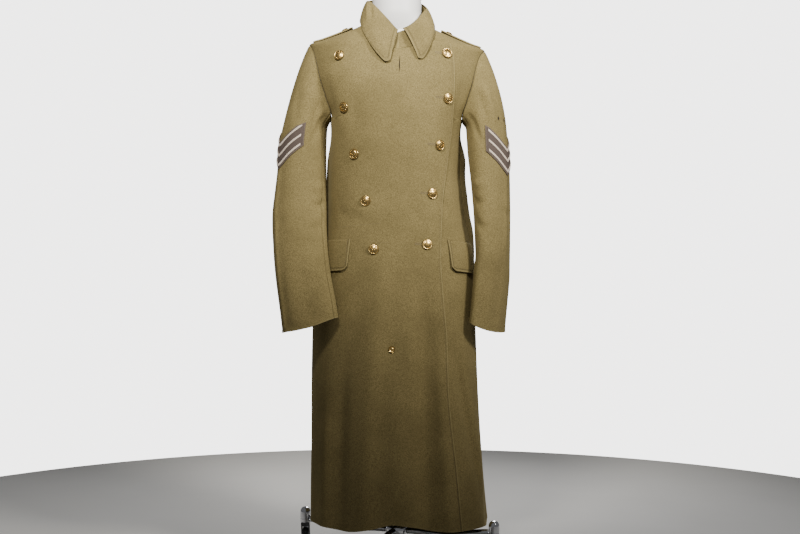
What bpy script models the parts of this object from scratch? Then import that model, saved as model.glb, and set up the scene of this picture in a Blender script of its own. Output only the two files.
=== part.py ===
"""Long double-breasted wool greatcoat standing on a limbless dress form.

The coat is cut cloth: every panel is a thin wall between an outer and an inner
surface, worked out from rings round the body. The form stands on four curved
legs with swivelling casters. Metres, +Z up, the front of the coat faces -Y and
+X is the side where the top front ends. Run it with
blender --background --python part.py, or from Blender's text editor.
"""

import math
from collections import namedtuple

import bmesh
import bpy
from mathutils import Matrix, Vector
from mathutils.bvhtree import BVHTree

# Cloth
WALL = 0.0020
GAP = 0.0003
SEAM_HALF = GAP / 2
LAYER = WALL + 0.0015
TRIM_WALL = 0.0012

# Where the coat's neck centre stands in the part's own frame
NECK_X = 0.0094
NECK_Y = 0.0

# Shoulders, neck and arm openings
ARMPIT_RISE = 1.125
SHOULDER_TIP_RISE = 1.3096
NECK_HALF = 0.081
NECK_SIDE_RISE = 1.3665
NECK_FRONT_DROP = 0.0765
NECK_BACK_RISE = 0.012
SHOULDER_LEAN = -0.034
LEAN_START = 1.00
LEAN_FULL = 1.28
ARMHOLE_FRONT_BITE = 0.077
ARMHOLE_BACK_BITE = 0.060
ARMHOLE_STEPS = 12

# Double-breasted fronts
TOP_EDGE_RISE = 1.322
TOP_CORNER_X = 0.128
NECK_TURNS = tuple(math.radians(d) for d in (0.0, 22.5, 45.0, 60.0, 70.0, 77.5, 83.5, 87.5, 90.0))
NECK_JOIN = 2
OVERLAP_START = math.radians(58.0)
OVERLAP_FADE = 0.36
UNDER_SINK = 0.0022

# Collar
FOLD_HALF = 0.0735
FOLD_DEPTH = 0.075
FOLD_FRONT_RISE = 1.3370
FOLD_LEFT_RISE = 0.0695
FOLD_RIGHT_RISE = 0.0900
FOLD_SAG = 2.6
FOLD_LINEAR = 0.30
FOLD_BACK_RISE = 0.1130
COLLAR_START = math.radians(12.0)
COLLAR_END = math.radians(362.0)
STAND_INSET = 0.0027
STAND_LIFT = 0.0014
ROLL_REACH = 0.026
FRONT_ROLL = 0.026

# Shoulder straps
STRAP_NEAR = 0.112
STRAP_FAR = 0.2125
STRAP_WALL = 0.0032
STRAP_LIFT = 0.0013
STRAP_HALF = 0.0225
STRAP_ARCH = 0.0060
STRAP_SLOPE = 0.48
STRAP_BUTTON_X = 0.132
PATCH_STAND_OFF = 0.0013
BAR_STAND_OFF = 0.0009
BAR_WALL = 0.0010
FLAP_WALL = 0.0030
FLAP_STAND_OFF = 0.0011
FLAP_CORNER = 0.010
FLAP_FLARE = 0.0042
FORM_INSET = 0.0115
CAP_REACH = 0.10
CAP_LIFT = 0.30
PRESSED_LINE = 0.035
FRONT_STAND_OFF = 0.0018
CORNER_SINK = 1.3
TOP_CORNER_RISE = 1.312

# Buttons
LARGE_BUTTON = 0.0127
SMALL_BUTTON = 0.0082
BUTTON_SIDES = 12
BUTTON_FOOT = 0.30

# Form and stand
FORM_BOTTOM = 0.760
NECK_TOP = 1.462
NECK_RADIUS = 0.0625
POLE_RADIUS = 0.0125
HUB_RADIUS = 0.030
HUB_LOW = 0.070
HUB_HIGH = 0.106
LEG_RADIUS = 0.0085
LEG_TURNS = (160.0, 250.0, 340.0, 70.0)
SOCKET_REACH = 0.255
SOCKET_RADIUS = 0.0135
SOCKET_LOW = 0.0885
SOCKET_HIGH = 0.1290
WHEEL_RADIUS = 0.0375
WHEEL_SIDES = 14
WHEEL_HALF = 0.0080
AXLE_RISE = WHEEL_RADIUS * math.cos(math.pi / WHEEL_SIDES)
CASTER_TRAIL = 0.018
FORK_CLEAR = 0.0004
FORK_CHEEK = 0.0022
FORK_TOP = SOCKET_LOW - GAP

Ring = namedtuple("Ring", "rise left right front back power")
BODY = (
    Ring(0.100, 0.2165, 0.2310, 0.160, 0.205, 2.25),
    Ring(0.232, 0.2167, 0.2184, 0.156, 0.194, 2.25),
    Ring(0.430, 0.2167, 0.2057, 0.150, 0.176, 2.25),
    Ring(0.595, 0.2144, 0.1995, 0.145, 0.160, 2.25),
    Ring(0.700, 0.2070, 0.1965, 0.140, 0.149, 2.25),
    Ring(0.773, 0.1970, 0.1900, 0.134, 0.138, 2.25),
    Ring(0.830, 0.1850, 0.1760, 0.128, 0.124, 2.25),
    Ring(0.880, 0.1760, 0.1640, 0.124, 0.112, 2.25),
    Ring(0.935, 0.1715, 0.1570, 0.122, 0.104, 2.25),
    Ring(0.990, 0.1694, 0.1510, 0.124, 0.102, 2.25),
    Ring(1.060, 0.1655, 0.1540, 0.130, 0.106, 2.25),
    Ring(1.125, 0.1700, 0.1665, 0.132, 0.110, 2.25),
    Ring(1.170, 0.1900, 0.1870, 0.130, 0.111, 2.20),
    Ring(1.215, 0.2070, 0.2030, 0.125, 0.109, 2.20),
    Ring(1.260, 0.2165, 0.2120, 0.115, 0.104, 2.10),
    Ring(1.290, 0.2210, 0.2180, 0.104, 0.096, 2.00),
    Ring(1.3096, 0.2235, 0.2235, 0.097, 0.089, 1.95),
    Ring(1.3214, 0.1930, 0.1930, 0.091, 0.084, 1.85),
    Ring(1.335, 0.1580, 0.1580, 0.085, 0.079, 1.80),
    Ring(1.350, 0.1200, 0.1200, 0.079, 0.073, 1.85),
    Ring(1.361, 0.0925, 0.0925, 0.074, 0.068, 2.00),
    Ring(1.3665, 0.0810, 0.0810, 0.070, 0.065, 2.10),
    Ring(1.380, 0.0740, 0.0740, 0.066, 0.062, 2.20),
    Ring(1.400, 0.0700, 0.0700, 0.064, 0.062, 2.20),
)

# Soft vertical folds of the skirt: turn from the front at the hem and at the
# fold's top, its half width, its height at the hem and where it dies out.
Fold = namedtuple("Fold", "hem_turn top_turn width height top_rise")
FOLDS = (
    Fold(74.0, 48.0, 6.5, 0.0065, 0.86),
    Fold(27.0, 30.0, 10.0, -0.0060, 0.80),
    Fold(-14.0, -12.0, 13.0, 0.0035, 0.76),
    Fold(-36.0, -30.0, 8.0, -0.0028, 0.62),
    Fold(-76.0, -70.0, 7.0, 0.0055, 0.60),
    Fold(104.0, 99.0, 8.0, 0.0070, 0.82),
    Fold(131.0, 127.0, 9.0, -0.0060, 0.86),
    Fold(152.0, 150.0, 8.0, 0.0075, 0.90),
    Fold(-104.0, -101.0, 9.0, 0.0060, 0.78),
    Fold(-128.0, -125.0, 8.0, -0.0065, 0.84),
    Fold(-150.0, -148.0, 9.0, 0.0070, 0.90),
)

# Height of the hem round the coat
Hem = namedtuple("Hem", "turn rise")
HEM = (
    Hem(-180.0, 0.116),
    Hem(-135.0, 0.118),
    Hem(-90.0, 0.124),
    Hem(-62.0, 0.118),
    Hem(-43.0, 0.113),
    Hem(-22.0, 0.122),
    Hem(-3.0, 0.134),
    Hem(17.0, 0.125),
    Hem(32.0, 0.114),
    Hem(60.0, 0.110),
    Hem(90.0, 0.112),
    Hem(135.0, 0.114),
    Hem(180.0, 0.116),
)

# Free edge of the top front, across from the neck's centre
Edge = namedtuple("Edge", "rise across")
FREE_EDGE = (
    Edge(0.100, 0.1610),
    Edge(0.260, 0.1460),
    Edge(0.450, 0.1260),
    Edge(0.590, 0.1215),
    Edge(0.680, 0.1135),
    Edge(0.780, 0.1070),
    Edge(0.900, 0.1108),
    Edge(1.030, 0.1250),
    Edge(1.120, 0.1365),
    Edge(1.230, 0.1415),
    Edge(1.272, 0.1400),
    Edge(1.310, 0.1320),
)

# Arm sections from the top down. wide runs across the arm, deep from front to
# back, and yaw turns both about the arm.
Arm = namedtuple("Arm", "rise across forward wide deep yaw")
LEFT_ARM = (
    Arm(1.105, 0.2337, 0.002, 0.0565, 0.0700, 0.0),
    Arm(1.050, 0.2390, 0.010, 0.0603, 0.0660, 0.0),
    Arm(0.988, 0.2402, 0.024, 0.0623, 0.0600, 0.0),
    Arm(0.935, 0.2420, 0.040, 0.0650, 0.0530, 0.0),
    Arm(0.887, 0.2430, 0.058, 0.0675, 0.0470, 0.0),
    Arm(0.802, 0.2374, 0.095, 0.0668, 0.0410, 0.0),
    Arm(0.735, 0.2290, 0.119, 0.0672, 0.0370, 0.0),
    Arm(0.650, 0.2147, 0.134, 0.0690, 0.0310, 0.0),
    Arm(0.609, 0.2090, 0.138, 0.0695, 0.0280, 0.0),
)
RIGHT_ARM = (
    Arm(1.105, 0.2270, 0.000, 0.0700, 0.0510, 76.0),
    Arm(1.050, 0.2310, 0.006, 0.0700, 0.0500, 68.0),
    Arm(0.988, 0.2354, 0.014, 0.0680, 0.0460, 62.0),
    Arm(0.935, 0.2380, 0.020, 0.0670, 0.0430, 61.0),
    Arm(0.877, 0.2398, 0.028, 0.0660, 0.0400, 60.0),
    Arm(0.787, 0.2404, 0.040, 0.0670, 0.0360, 60.0),
    Arm(0.730, 0.2371, 0.048, 0.0680, 0.0330, 54.0),
    Arm(0.661, 0.2308, 0.056, 0.0690, 0.0300, 53.0),
    Arm(0.601, 0.2245, 0.062, 0.0690, 0.0280, 51.0),
)
SLEEVE_STEPS = 24
CAP_ROWS = 5
SLEEVE_ROWS = 8
FOREARM_SEAM = 2
ELBOW_SEAM = 16

# Leaf edge of the collar, from its front tip round to the middle of the back
Leaf = namedtuple("Leaf", "part across forward rise")
RIGHT_LEAF = (
    Leaf(0.00, 0.0520, 0.1200, 1.2660),
    Leaf(0.06, 0.0610, 0.1170, 1.2640),
    Leaf(0.14, 0.0740, 0.1130, 1.2810),
    Leaf(0.26, 0.0860, 0.0985, 1.3100),
    Leaf(0.40, 0.0945, 0.0640, 1.3370),
    Leaf(0.56, 0.0960, 0.0150, 1.3640),
    Leaf(0.72, 0.0880, -0.0420, 1.3710),
    Leaf(0.86, 0.0560, -0.0790, 1.3700),
    Leaf(1.00, 0.0000, -0.0910, 1.3690),
)
LEFT_LEAF = (
    Leaf(0.00, 0.0160, 0.1265, 1.2600),
    Leaf(0.05, 0.0260, 0.1260, 1.2560),
    Leaf(0.14, 0.0460, 0.1210, 1.2740),
    Leaf(0.27, 0.0660, 0.1060, 1.3030),
    Leaf(0.41, 0.0865, 0.0765, 1.3440),
    Leaf(0.56, 0.0945, 0.0150, 1.3750),
    Leaf(0.72, 0.0865, -0.0420, 1.3760),
    Leaf(0.86, 0.0560, -0.0790, 1.3710),
    Leaf(1.00, 0.0000, -0.0910, 1.3690),
)

# Large buttons on the top front: across and height
Spot = namedtuple("Spot", "name across rise")
BUTTONS = (
    Spot("button_left_1", -0.1405, 1.271),
    Spot("button_left_2", -0.1283, 1.146),
    Spot("button_left_3", -0.1028, 1.032),
    Spot("button_left_4", -0.0753, 0.917),
    Spot("button_left_5", -0.0559, 0.798),
    Spot("button_right_1", 0.1218, 1.284),
    Spot("button_right_2", 0.1235, 1.172),
    Spot("button_right_3", 0.1028, 1.055),
    Spot("button_right_4", 0.0853, 0.935),
    Spot("button_right_5", 0.0728, 0.810),
)
SKIRT_BUTTON = Spot("button_skirt", -0.0121, 0.556)

# Pocket flaps: turns of the near and far ends, rise of the top at each end
Flap = namedtuple("Flap", "name side near far near_rise far_rise depth")
FLAPS = (
    Flap("pocket_flap_left", -1, 45.5, 80.0, 0.824, 0.818, 0.078),
    Flap("pocket_flap_right", 1, 51.0, 86.0, 0.822, 0.812, 0.077),
)

# Rank chevrons on the upper sleeves
CHEVRON_TURN = {-1: 146.0, 1: 150.0}
CHEVRON_SPAN = 56.0
CHEVRON_TIPS = {-1: 1.050, 1: 1.040}
CHEVRON_PITCH = 0.0255
CHEVRON_LIFT = 0.050
BAR_HALF = 0.0034
PATCH_RIM = 0.0095
PATCH_SIDE = 1.14


def clamp(value, low=0.0, high=1.0):
    return max(low, min(high, value))


def ease(value):
    value = clamp(value)
    return value * value * (3.0 - 2.0 * value)


def mix(a, b, part):
    return a + (b - a) * part


def read_table(table, key, at, name):
    """One column of a table, read smoothly at a value of its key column."""
    rows = sorted(table, key=lambda row: getattr(row, key))
    keys = [getattr(row, key) for row in rows]
    values = [getattr(row, name) for row in rows]
    at = clamp(at, keys[0], keys[-1])
    i = 0
    while i < len(keys) - 2 and at > keys[i + 1]:
        i += 1

    def slope(j):
        if j == 0 or j == len(keys) - 1:
            return 0.0 if len(keys) < 3 else secant(min(j, len(keys) - 2))
        before, after = secant(j - 1), secant(j)
        if before * after <= 0.0:
            return 0.0
        return 2.0 * before * after / (before + after)

    def secant(j):
        return (values[j + 1] - values[j]) / (keys[j + 1] - keys[j])

    width = keys[i + 1] - keys[i]
    t = (at - keys[i]) / width
    return (
        values[i] * (1 + 2 * t) * (1 - t) ** 2
        + slope(i) * width * t * (1 - t) ** 2
        + values[i + 1] * t * t * (3 - 2 * t)
        + slope(i + 1) * width * t * t * (t - 1)
    )


def ring_at(rise):
    names = ("left", "right", "front", "back", "power")
    return {name: read_table(BODY, "rise", rise, name) for name in names}


def fold_height(turn, rise):
    """How far the skirt's folds lift the cloth off its plain ring."""
    total = 0.0
    for fold in FOLDS:
        part = ease((fold.top_rise - rise) / (fold.top_rise - 0.16))
        if part <= 0.0:
            continue
        middle = math.radians(mix(fold.top_turn, fold.hem_turn, part))
        away = (turn - middle + math.pi) % (2 * math.pi) - math.pi
        reach = away / math.radians(fold.width)
        total += fold.height * part * math.exp(-reach * reach)
    return total


def body_surface(turn, rise):
    """A point of the cloth's outer face before any offset. turn is the
    angle from the front towards +X."""
    ring = ring_at(rise)
    side = ring["right"] if math.sin(turn) > 0 else ring["left"]
    depth = ring["front"] if math.cos(turn) > 0 else ring["back"]
    power = ring["power"]
    reach = abs(math.sin(turn) / side) ** power + abs(math.cos(turn) / depth) ** power
    radius = reach ** (-1.0 / power) + fold_height(turn, rise)
    across = radius * math.sin(turn)
    lean = SHOULDER_LEAN * across * ease((rise - LEAN_START) / (LEAN_FULL - LEAN_START))
    return Vector((across, -radius * math.cos(turn), rise + lean))


def surface_normal(surface, u, v, step_u, step_v):
    along_u = surface(u + step_u, v) - surface(u - step_u, v)
    along_v = surface(u, v + step_v) - surface(u, v - step_v)
    return along_u.cross(along_v).normalized()


def body_point(turn, rise, out=0.0):
    base = body_surface(turn, rise)
    if out == 0.0:
        return base
    return base + out * surface_normal(body_surface, turn, rise, 0.02, 0.002)


def turn_at(across, rise, front=True):
    """Turn of the body's point that lies across from the neck's centre."""
    ring = ring_at(rise)
    side = ring["right"] if across > 0 else ring["left"]
    depth = ring["front"] if front else ring["back"]
    part = clamp(abs(across) / side)
    reach = depth * (1.0 - part ** ring["power"]) ** (1.0 / ring["power"])
    turn = math.atan2(abs(across), reach)
    if not front:
        turn = math.pi - turn
    return math.copysign(turn, across)


def neckline(turn):
    """(turn, rise) of the neckline at an angle round the neck."""
    turn = (turn + math.pi) % (2 * math.pi) - math.pi
    across = NECK_HALF * math.sin(turn)
    front = math.cos(turn) > 0
    lift = NECK_FRONT_DROP if front else NECK_BACK_RISE
    rise = NECK_SIDE_RISE - lift * math.cos(turn)
    if abs(math.cos(turn)) < 1e-9:
        return math.copysign(math.pi / 2, across), NECK_SIDE_RISE
    return turn_at(across, rise, front), rise


def armhole(side, step, front):
    """(turn, rise) of the arm opening: step 0 is the armpit and the last
    step the shoulder's tip."""
    angle = math.pi * step / ARMHOLE_STEPS
    half = (SHOULDER_TIP_RISE - ARMPIT_RISE) / 2
    rise = ARMPIT_RISE + half * (1.0 - math.cos(angle))
    if step in (0, ARMHOLE_STEPS):
        return side * math.pi / 2, rise
    ring = ring_at(rise)
    widest = ring["right"] if side > 0 else ring["left"]
    bite = ARMHOLE_FRONT_BITE if front else ARMHOLE_BACK_BITE
    return turn_at(side * widest * (1.0 - bite * math.sin(angle)), rise, front), rise


def shoulder_seam(side, part):
    """(turn, rise) along the shoulder, from the neck to its tip."""
    across = mix(NECK_HALF, ring_at(SHOULDER_TIP_RISE)["left"], part)
    low, high = NECK_SIDE_RISE, SHOULDER_TIP_RISE
    for _ in range(40):
        middle = (low + high) / 2
        if ring_at(middle)["left"] < across:
            low = middle
        else:
            high = middle
    return side * math.pi / 2, (low + high) / 2


def hem_rise(turn):
    degrees = math.degrees((turn + math.pi) % (2 * math.pi) - math.pi)
    return read_table(HEM, "turn", degrees, "rise")


def edge_turn(side, rise):
    return turn_at(side * read_table(FREE_EDGE, "rise", rise, "across"), rise)


def top_layer(turn):
    """How far the top front stands off the body: a full layer where it lies
    over the other front, and none at its own side seam."""
    return LAYER * (1.0 - ease((-turn - OVERLAP_START) / OVERLAP_FADE))


def under_layer(turn, rise):
    """The under front sinks a little where the top one covers it, most at
    its upper corner."""
    sink = UNDER_SINK * (1.0 + CORNER_SINK * ease((rise - 1.19) / 0.07))
    return -sink * ease((-turn - math.radians(8.0)) / 0.30)


def close_wall(name, outer, inner, ring=False):
    """A closed wall between two grids of points, rows of equal length."""
    mesh = bmesh.new()
    rows, columns = len(outer), len(outer[0])
    out = [[mesh.verts.new(p) for p in row] for row in outer]
    back = [[mesh.verts.new(p) for p in row] for row in inner]
    spans = range(columns if ring else columns - 1)
    for i in range(rows - 1):
        for j in spans:
            k = (j + 1) % columns
            mesh.faces.new((out[i][j], out[i][k], out[i + 1][k], out[i + 1][j]))
            mesh.faces.new((back[i][j], back[i + 1][j], back[i + 1][k], back[i][k]))
    for j in spans:
        k = (j + 1) % columns
        mesh.faces.new((out[0][j], back[0][j], back[0][k], out[0][k]))
        mesh.faces.new((out[-1][k], back[-1][k], back[-1][j], out[-1][j]))
    if not ring:
        for i in range(rows - 1):
            mesh.faces.new((out[i][0], out[i + 1][0], back[i + 1][0], back[i][0]))
            mesh.faces.new((out[i][-1], back[i][-1], back[i + 1][-1], out[i + 1][-1]))
    bmesh.ops.recalc_face_normals(mesh, faces=mesh.faces)
    if mesh.calc_volume(signed=True) < 0:
        bmesh.ops.reverse_faces(mesh, faces=mesh.faces)
    return finish_mesh(name, mesh)


def finish_mesh(name, mesh, smooth_angle=40.0):
    data = bpy.data.meshes.new(name)
    mesh.to_mesh(data)
    mesh.free()
    data.shade_smooth()
    data.set_sharp_from_angle(angle=math.radians(smooth_angle))
    return bpy.data.objects.new(name, data)


def grid_offset(grid, out):
    """A grid of points moved along its own surface's normals."""
    rows, columns = len(grid), len(grid[0])
    moved = []
    for i, row in enumerate(grid):
        line = []
        for j, point in enumerate(row):
            right = row[min(j + 1, columns - 1)] - row[max(j - 1, 0)]
            up = grid[min(i + 1, rows - 1)][j] - grid[max(i - 1, 0)][j]
            line.append(point + right.cross(up).normalized() * out)
        moved.append(line)
    return moved


def trim_edges(grid, top=False):
    """Half the seam's gap taken off a grid's side columns, and off its last
    row where that is sewn too."""
    if top:
        before, last = grid[-2], grid[-1]
        grid[-1] = [p + (q - p).normalized() * SEAM_HALF for p, q in zip(last, before)]
    for row in grid:
        row[0] = row[0] + (row[1] - row[0]).normalized() * SEAM_HALF
        row[-1] = row[-1] + (row[-2] - row[-1]).normalized() * SEAM_HALF
    return grid


# Coat panels

SKIRT_ROWS = 12
FRONT_TOP_STEPS = 3
BACK_NECK_STEPS = 3
SHOULDER_STEPS = 5


def panel_plan(top, near_edge, far_turn, side, front):
    """(turn, rise) of every point of a panel. Its columns run from the near
    edge to the side seam and its rows from the hem to the neck."""
    count = len(top)
    armpit = [mix(near_edge(ARMPIT_RISE), far_turn, j / (count - 1)) for j in range(count)]
    rows = []
    for i in range(SKIRT_ROWS):
        part = (i / SKIRT_ROWS) ** 0.92
        row = []
        for j in range(count):
            rise = mix(0.12, ARMPIT_RISE, part)
            start = near_edge(rise)
            turn = mix(start, far_turn, j / (count - 1))
            row.append((turn, mix(hem_rise(turn), ARMPIT_RISE, part)))
        rows.append(row)
    near_top = top[0]
    for i in range(ARMHOLE_STEPS + 1):
        far = armhole(side, i, front)
        part = (far[1] - ARMPIT_RISE) / (SHOULDER_TIP_RISE - ARMPIT_RISE)
        near_rise = mix(ARMPIT_RISE, near_top[1], part)
        near = (near_edge(near_rise) if i < ARMHOLE_STEPS else near_top[0], near_rise)
        row = []
        for j in range(count):
            across = j / (count - 1)
            point = []
            for k in range(2):
                sides = mix(near[k], far[k], across)
                ends = mix((armpit[j], ARMPIT_RISE)[k], top[j][k], part)
                corners = mix(
                    mix((armpit[0], ARMPIT_RISE)[k], (far_turn, ARMPIT_RISE)[k], across),
                    mix(near_top[k], top[-1][k], across),
                    part,
                )
                point.append(sides + ends - corners)
            row.append(tuple(point))
        rows.append(row)
    return rows


def build_panel(name, plan, out_of):
    outer = [[body_point(t, r, out_of(t, r)) for t, r in row] for row in plan]
    inner = [[body_point(t, r, out_of(t, r) - WALL) for t, r in row] for row in plan]
    return close_wall(name, trim_edges(outer, True), trim_edges(inner, True))


def front_top(side, far_side):
    """The front's upper boundary: top edge, neckline and shoulder."""
    corner = (turn_at(side * TOP_CORNER_X, TOP_CORNER_RISE), TOP_CORNER_RISE)
    join = neckline(side * NECK_TURNS[NECK_JOIN])
    join_across = NECK_HALF * math.sin(NECK_TURNS[NECK_JOIN])
    points = [corner]
    for i in range(1, FRONT_TOP_STEPS + 1):
        part = i / FRONT_TOP_STEPS
        across = mix(TOP_CORNER_X, join_across, part)
        rise = mix(TOP_EDGE_RISE, join[1], ease(part))
        points.append((turn_at(side * across, rise), rise))
    points[-1] = join
    points.append(neckline(side * NECK_TURNS[1]))
    points += [neckline(far_side * turn) for turn in NECK_TURNS]
    for i in range(1, SHOULDER_STEPS + 1):
        points.append(shoulder_seam(far_side, i / SHOULDER_STEPS))
    return points


def build_front(name, far_side, top):
    side = -far_side

    def near(rise):
        return edge_turn(side, rise)

    plan = panel_plan(front_top(side, far_side), near, far_side * math.pi / 2, far_side, True)
    return build_panel(name, plan, (lambda turn, rise: top_layer(turn)) if top else under_layer)


def build_back(name, side):
    top = [neckline(side * math.pi * (1 - 0.5 * i / BACK_NECK_STEPS)) for i in range(BACK_NECK_STEPS)]
    top[0] = (side * math.pi, top[0][1])
    top += [shoulder_seam(side, i / SHOULDER_STEPS) for i in range(SHOULDER_STEPS + 1)]
    plan = panel_plan(top, lambda rise: side * math.pi, side * math.pi / 2, side, False)
    return build_panel(name, plan, lambda turn, rise: 0.0)


# Sleeves


def arm_ring(side, around, rise):
    """A point of the sleeve below its cap. around is 0 at the inner side,
    a quarter turn at the front and half a turn outside."""
    table = RIGHT_ARM if side > 0 else LEFT_ARM

    def column(name, at=rise):
        return read_table(table, "rise", at, name)

    def middle(at):
        return Vector((side * column("across", at), -column("forward", at), at))

    down = (middle(rise - 0.01) - middle(rise + 0.01)).normalized()
    yaw = math.radians(column("yaw"))
    wide_axis = Vector((side * math.cos(yaw), math.sin(yaw), 0.0))
    wide_axis = (wide_axis - down * wide_axis.dot(down)).normalized()
    deep_axis = wide_axis.cross(down) * side
    angle = math.pi + around - yaw
    crease = 1.0 + PRESSED_LINE * math.exp(-((around - math.radians(146.0)) / 0.16) ** 2)
    wide = column("wide") * math.cos(angle) * crease
    deep = column("deep") * math.sin(angle) * crease
    return middle(rise) + wide * wide_axis + deep * deep_axis


def sleeve_surface(side, around, down):
    """The sleeve's outer face. down is 0 at the armhole, 1 at the first arm
    section and 2 at the cuff."""
    table = RIGHT_ARM if side > 0 else LEFT_ARM
    first, last = table[0].rise, table[-1].rise
    if down >= 1.0:
        return arm_ring(side, around, mix(first, last, down - 1.0))
    around = around % (2 * math.pi)
    front = around <= math.pi
    step = (around if front else 2 * math.pi - around) / math.pi * ARMHOLE_STEPS
    start = body_point(*armhole_between(side, step, front))
    end = arm_ring(side, around, first)
    outness = (1.0 - math.cos(around)) / 2
    leave = Vector((
        side * (0.65 + CAP_REACH * outness),
        -0.35 * math.sin(around),
        -(1.0 - CAP_LIFT * outness),
    )).normalized()
    start = start + leave * 1.5 * GAP
    ahead = arm_ring(side, around, first - 0.02) - end
    reach = (end - start).length
    leave *= reach * 0.85
    arrive = ahead.normalized() * reach * 1.0
    t = down
    return (
        start * (1 + 2 * t) * (1 - t) ** 2
        + leave * t * (1 - t) ** 2
        + end * t * t * (3 - 2 * t)
        + arrive * t * t * (t - 1)
    )


def armhole_between(side, step, front):
    """The arm opening at any place between two of its steps."""
    low = int(math.floor(step + 1e-6))
    part = step - low
    if part < 1e-6 or low >= ARMHOLE_STEPS:
        return armhole(side, min(low, ARMHOLE_STEPS), front)
    a, b = armhole(side, low, front), armhole(side, low + 1, front)
    return mix(a[0], b[0], part), mix(a[1], b[1], part)


def sleeve_point(side, around, down, out=0.0):
    def surface(u, v):
        return sleeve_surface(side, u, v)

    down = max(down, 0.0)
    step = 0.01 if down >= 0.01 else 0.0
    along_u = surface(around + 0.03, down) - surface(around - 0.03, down)
    along_v = surface(around, down + 0.01) - surface(around, down - step)
    normal = along_v.cross(along_u).normalized() * side
    return surface(around, down) + normal * out


def sleeve_rows():
    cap = [i / CAP_ROWS for i in range(CAP_ROWS)]
    arm = [1.0 + i / SLEEVE_ROWS for i in range(SLEEVE_ROWS + 1)]
    return cap + arm


def build_sleeve(name, side, first, last):
    turns = [2 * math.pi * j / SLEEVE_STEPS for j in range(first, last + 1)]
    outer = [[sleeve_point(side, a, d) for a in turns] for d in sleeve_rows()]
    inner = [[sleeve_point(side, a, d, -WALL) for a in turns] for d in sleeve_rows()]
    return close_wall(name, trim_edges(outer), trim_edges(inner))


def sleeve_down_at(side, rise):
    table = RIGHT_ARM if side > 0 else LEFT_ARM
    first, last = table[0].rise, table[-1].rise
    if rise <= first:
        return 1.0 + (first - rise) / (first - last)
    return 1.0 - (rise - first) / (SHOULDER_TIP_RISE - first)


# Rank chevrons


def chevron_strip(name, side, low, high, span, base, wall):
    """A V-shaped strip on the sleeve between two heights of its point."""
    columns = 8
    turn = math.radians(CHEVRON_TURN[side])
    rows = max(1, round((high - low) / 0.03))
    outer, inner = [], []
    for i in range(rows + 1):
        height = mix(low, high, i / rows)
        outside, inside = [], []
        for j in range(columns + 1):
            part = 2.0 * j / columns - 1.0
            around = turn + part * math.radians(span)
            rise = CHEVRON_TIPS[side] + height + CHEVRON_LIFT * abs(part) * span / CHEVRON_SPAN
            down = sleeve_down_at(side, rise)
            outside.append(sleeve_point(side, around, down, base + wall))
            inside.append(sleeve_point(side, around, down, base))
        outer.append(outside)
        inner.append(inside)
    return close_wall(name, outer, inner)


def build_chevrons(side, word):
    pieces = []
    low = -2 * CHEVRON_PITCH - PATCH_RIM
    span = CHEVRON_SPAN * PATCH_SIDE
    base = PATCH_STAND_OFF
    pieces.append(chevron_strip(f"chevron_patch_{word}", side, low, PATCH_RIM, span, base, TRIM_WALL))
    for i in range(3):
        middle = -i * CHEVRON_PITCH
        name = f"chevron_bar_{word}_{i + 1}"
        level = base + TRIM_WALL + BAR_STAND_OFF
        strip = chevron_strip(name, side, middle - BAR_HALF, middle + BAR_HALF, CHEVRON_SPAN, level, BAR_WALL)
        pieces.append(strip)
    return pieces


# Collar


def fold_point(turn):
    """The collar's fold line: straight up the wearer's right side, and a
    sagging curve up the left one."""
    reach = abs(math.sin(turn))
    left = math.sin(turn) > 0
    side = FOLD_LEFT_RISE if left else FOLD_RIGHT_RISE
    if math.cos(turn) > 0:
        rise = side * (mix(reach**FOLD_SAG, reach, FOLD_LINEAR) if left else reach)
    else:
        rise = side - (FOLD_BACK_RISE - side) * math.cos(turn)
    rise += FOLD_FRONT_RISE
    return Vector((FOLD_HALF * math.sin(turn), -0.003 - FOLD_DEPTH * math.cos(turn), rise))


def collar_turns():
    """Angles round the neck, which meet every shared point of its edge."""
    extra = (NECK_TURNS[1] + NECK_TURNS[2]) / 2
    front = [NECK_TURNS[1], extra, *NECK_TURNS[2:]]
    back = [math.pi / 2 + math.radians(15.0) * i for i in range(1, 12)]
    return [COLLAR_START, *front, *back, *(2 * math.pi - turn for turn in reversed(front)), COLLAR_END]


def neck_edge(turn):
    """The panels' neck edge, straight between the points that they share."""
    back = [math.pi * (0.5 + 0.5 * i / BACK_NECK_STEPS) for i in range(1, 2 * BACK_NECK_STEPS)]
    stops = [*NECK_TURNS, *back, *(2 * math.pi - stop for stop in reversed(NECK_TURNS))]
    stops.append(2 * math.pi + NECK_TURNS[1])
    index = max(i for i, stop in enumerate(stops[:-1]) if stop <= turn + 1e-6)
    low, high = stops[index], stops[index + 1]
    a, b = body_point(*neckline(low)), body_point(*neckline(high))
    return a.lerp(b, (turn - low) / (high - low))


def build_collar_stand():
    rows = 4
    outer = []
    for i in range(rows + 1):
        part = i / rows
        row = []
        for turn in collar_turns():
            inward = Vector((-math.sin(turn), math.cos(turn), 0.0))
            low = neck_edge(turn) + inward * STAND_INSET + Vector((0.0, 0.0, STAND_LIFT))
            row.append(low.lerp(fold_point(turn), part))
        outer.append(row)
    return close_wall("collar_stand", outer, grid_offset(outer, -WALL))


def leaf_edge(turn):
    half = math.pi
    table = RIGHT_LEAF if turn <= half else LEFT_LEAF
    span = half - COLLAR_START if turn <= half else COLLAR_END - half
    part = clamp(1.0 - abs(turn - half) / span)
    across = read_table(table, "part", part, "across")
    forward = read_table(table, "part", part, "forward")
    rise = read_table(table, "part", part, "rise")
    return Vector((across if turn <= half else -across, -forward, rise))


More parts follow.
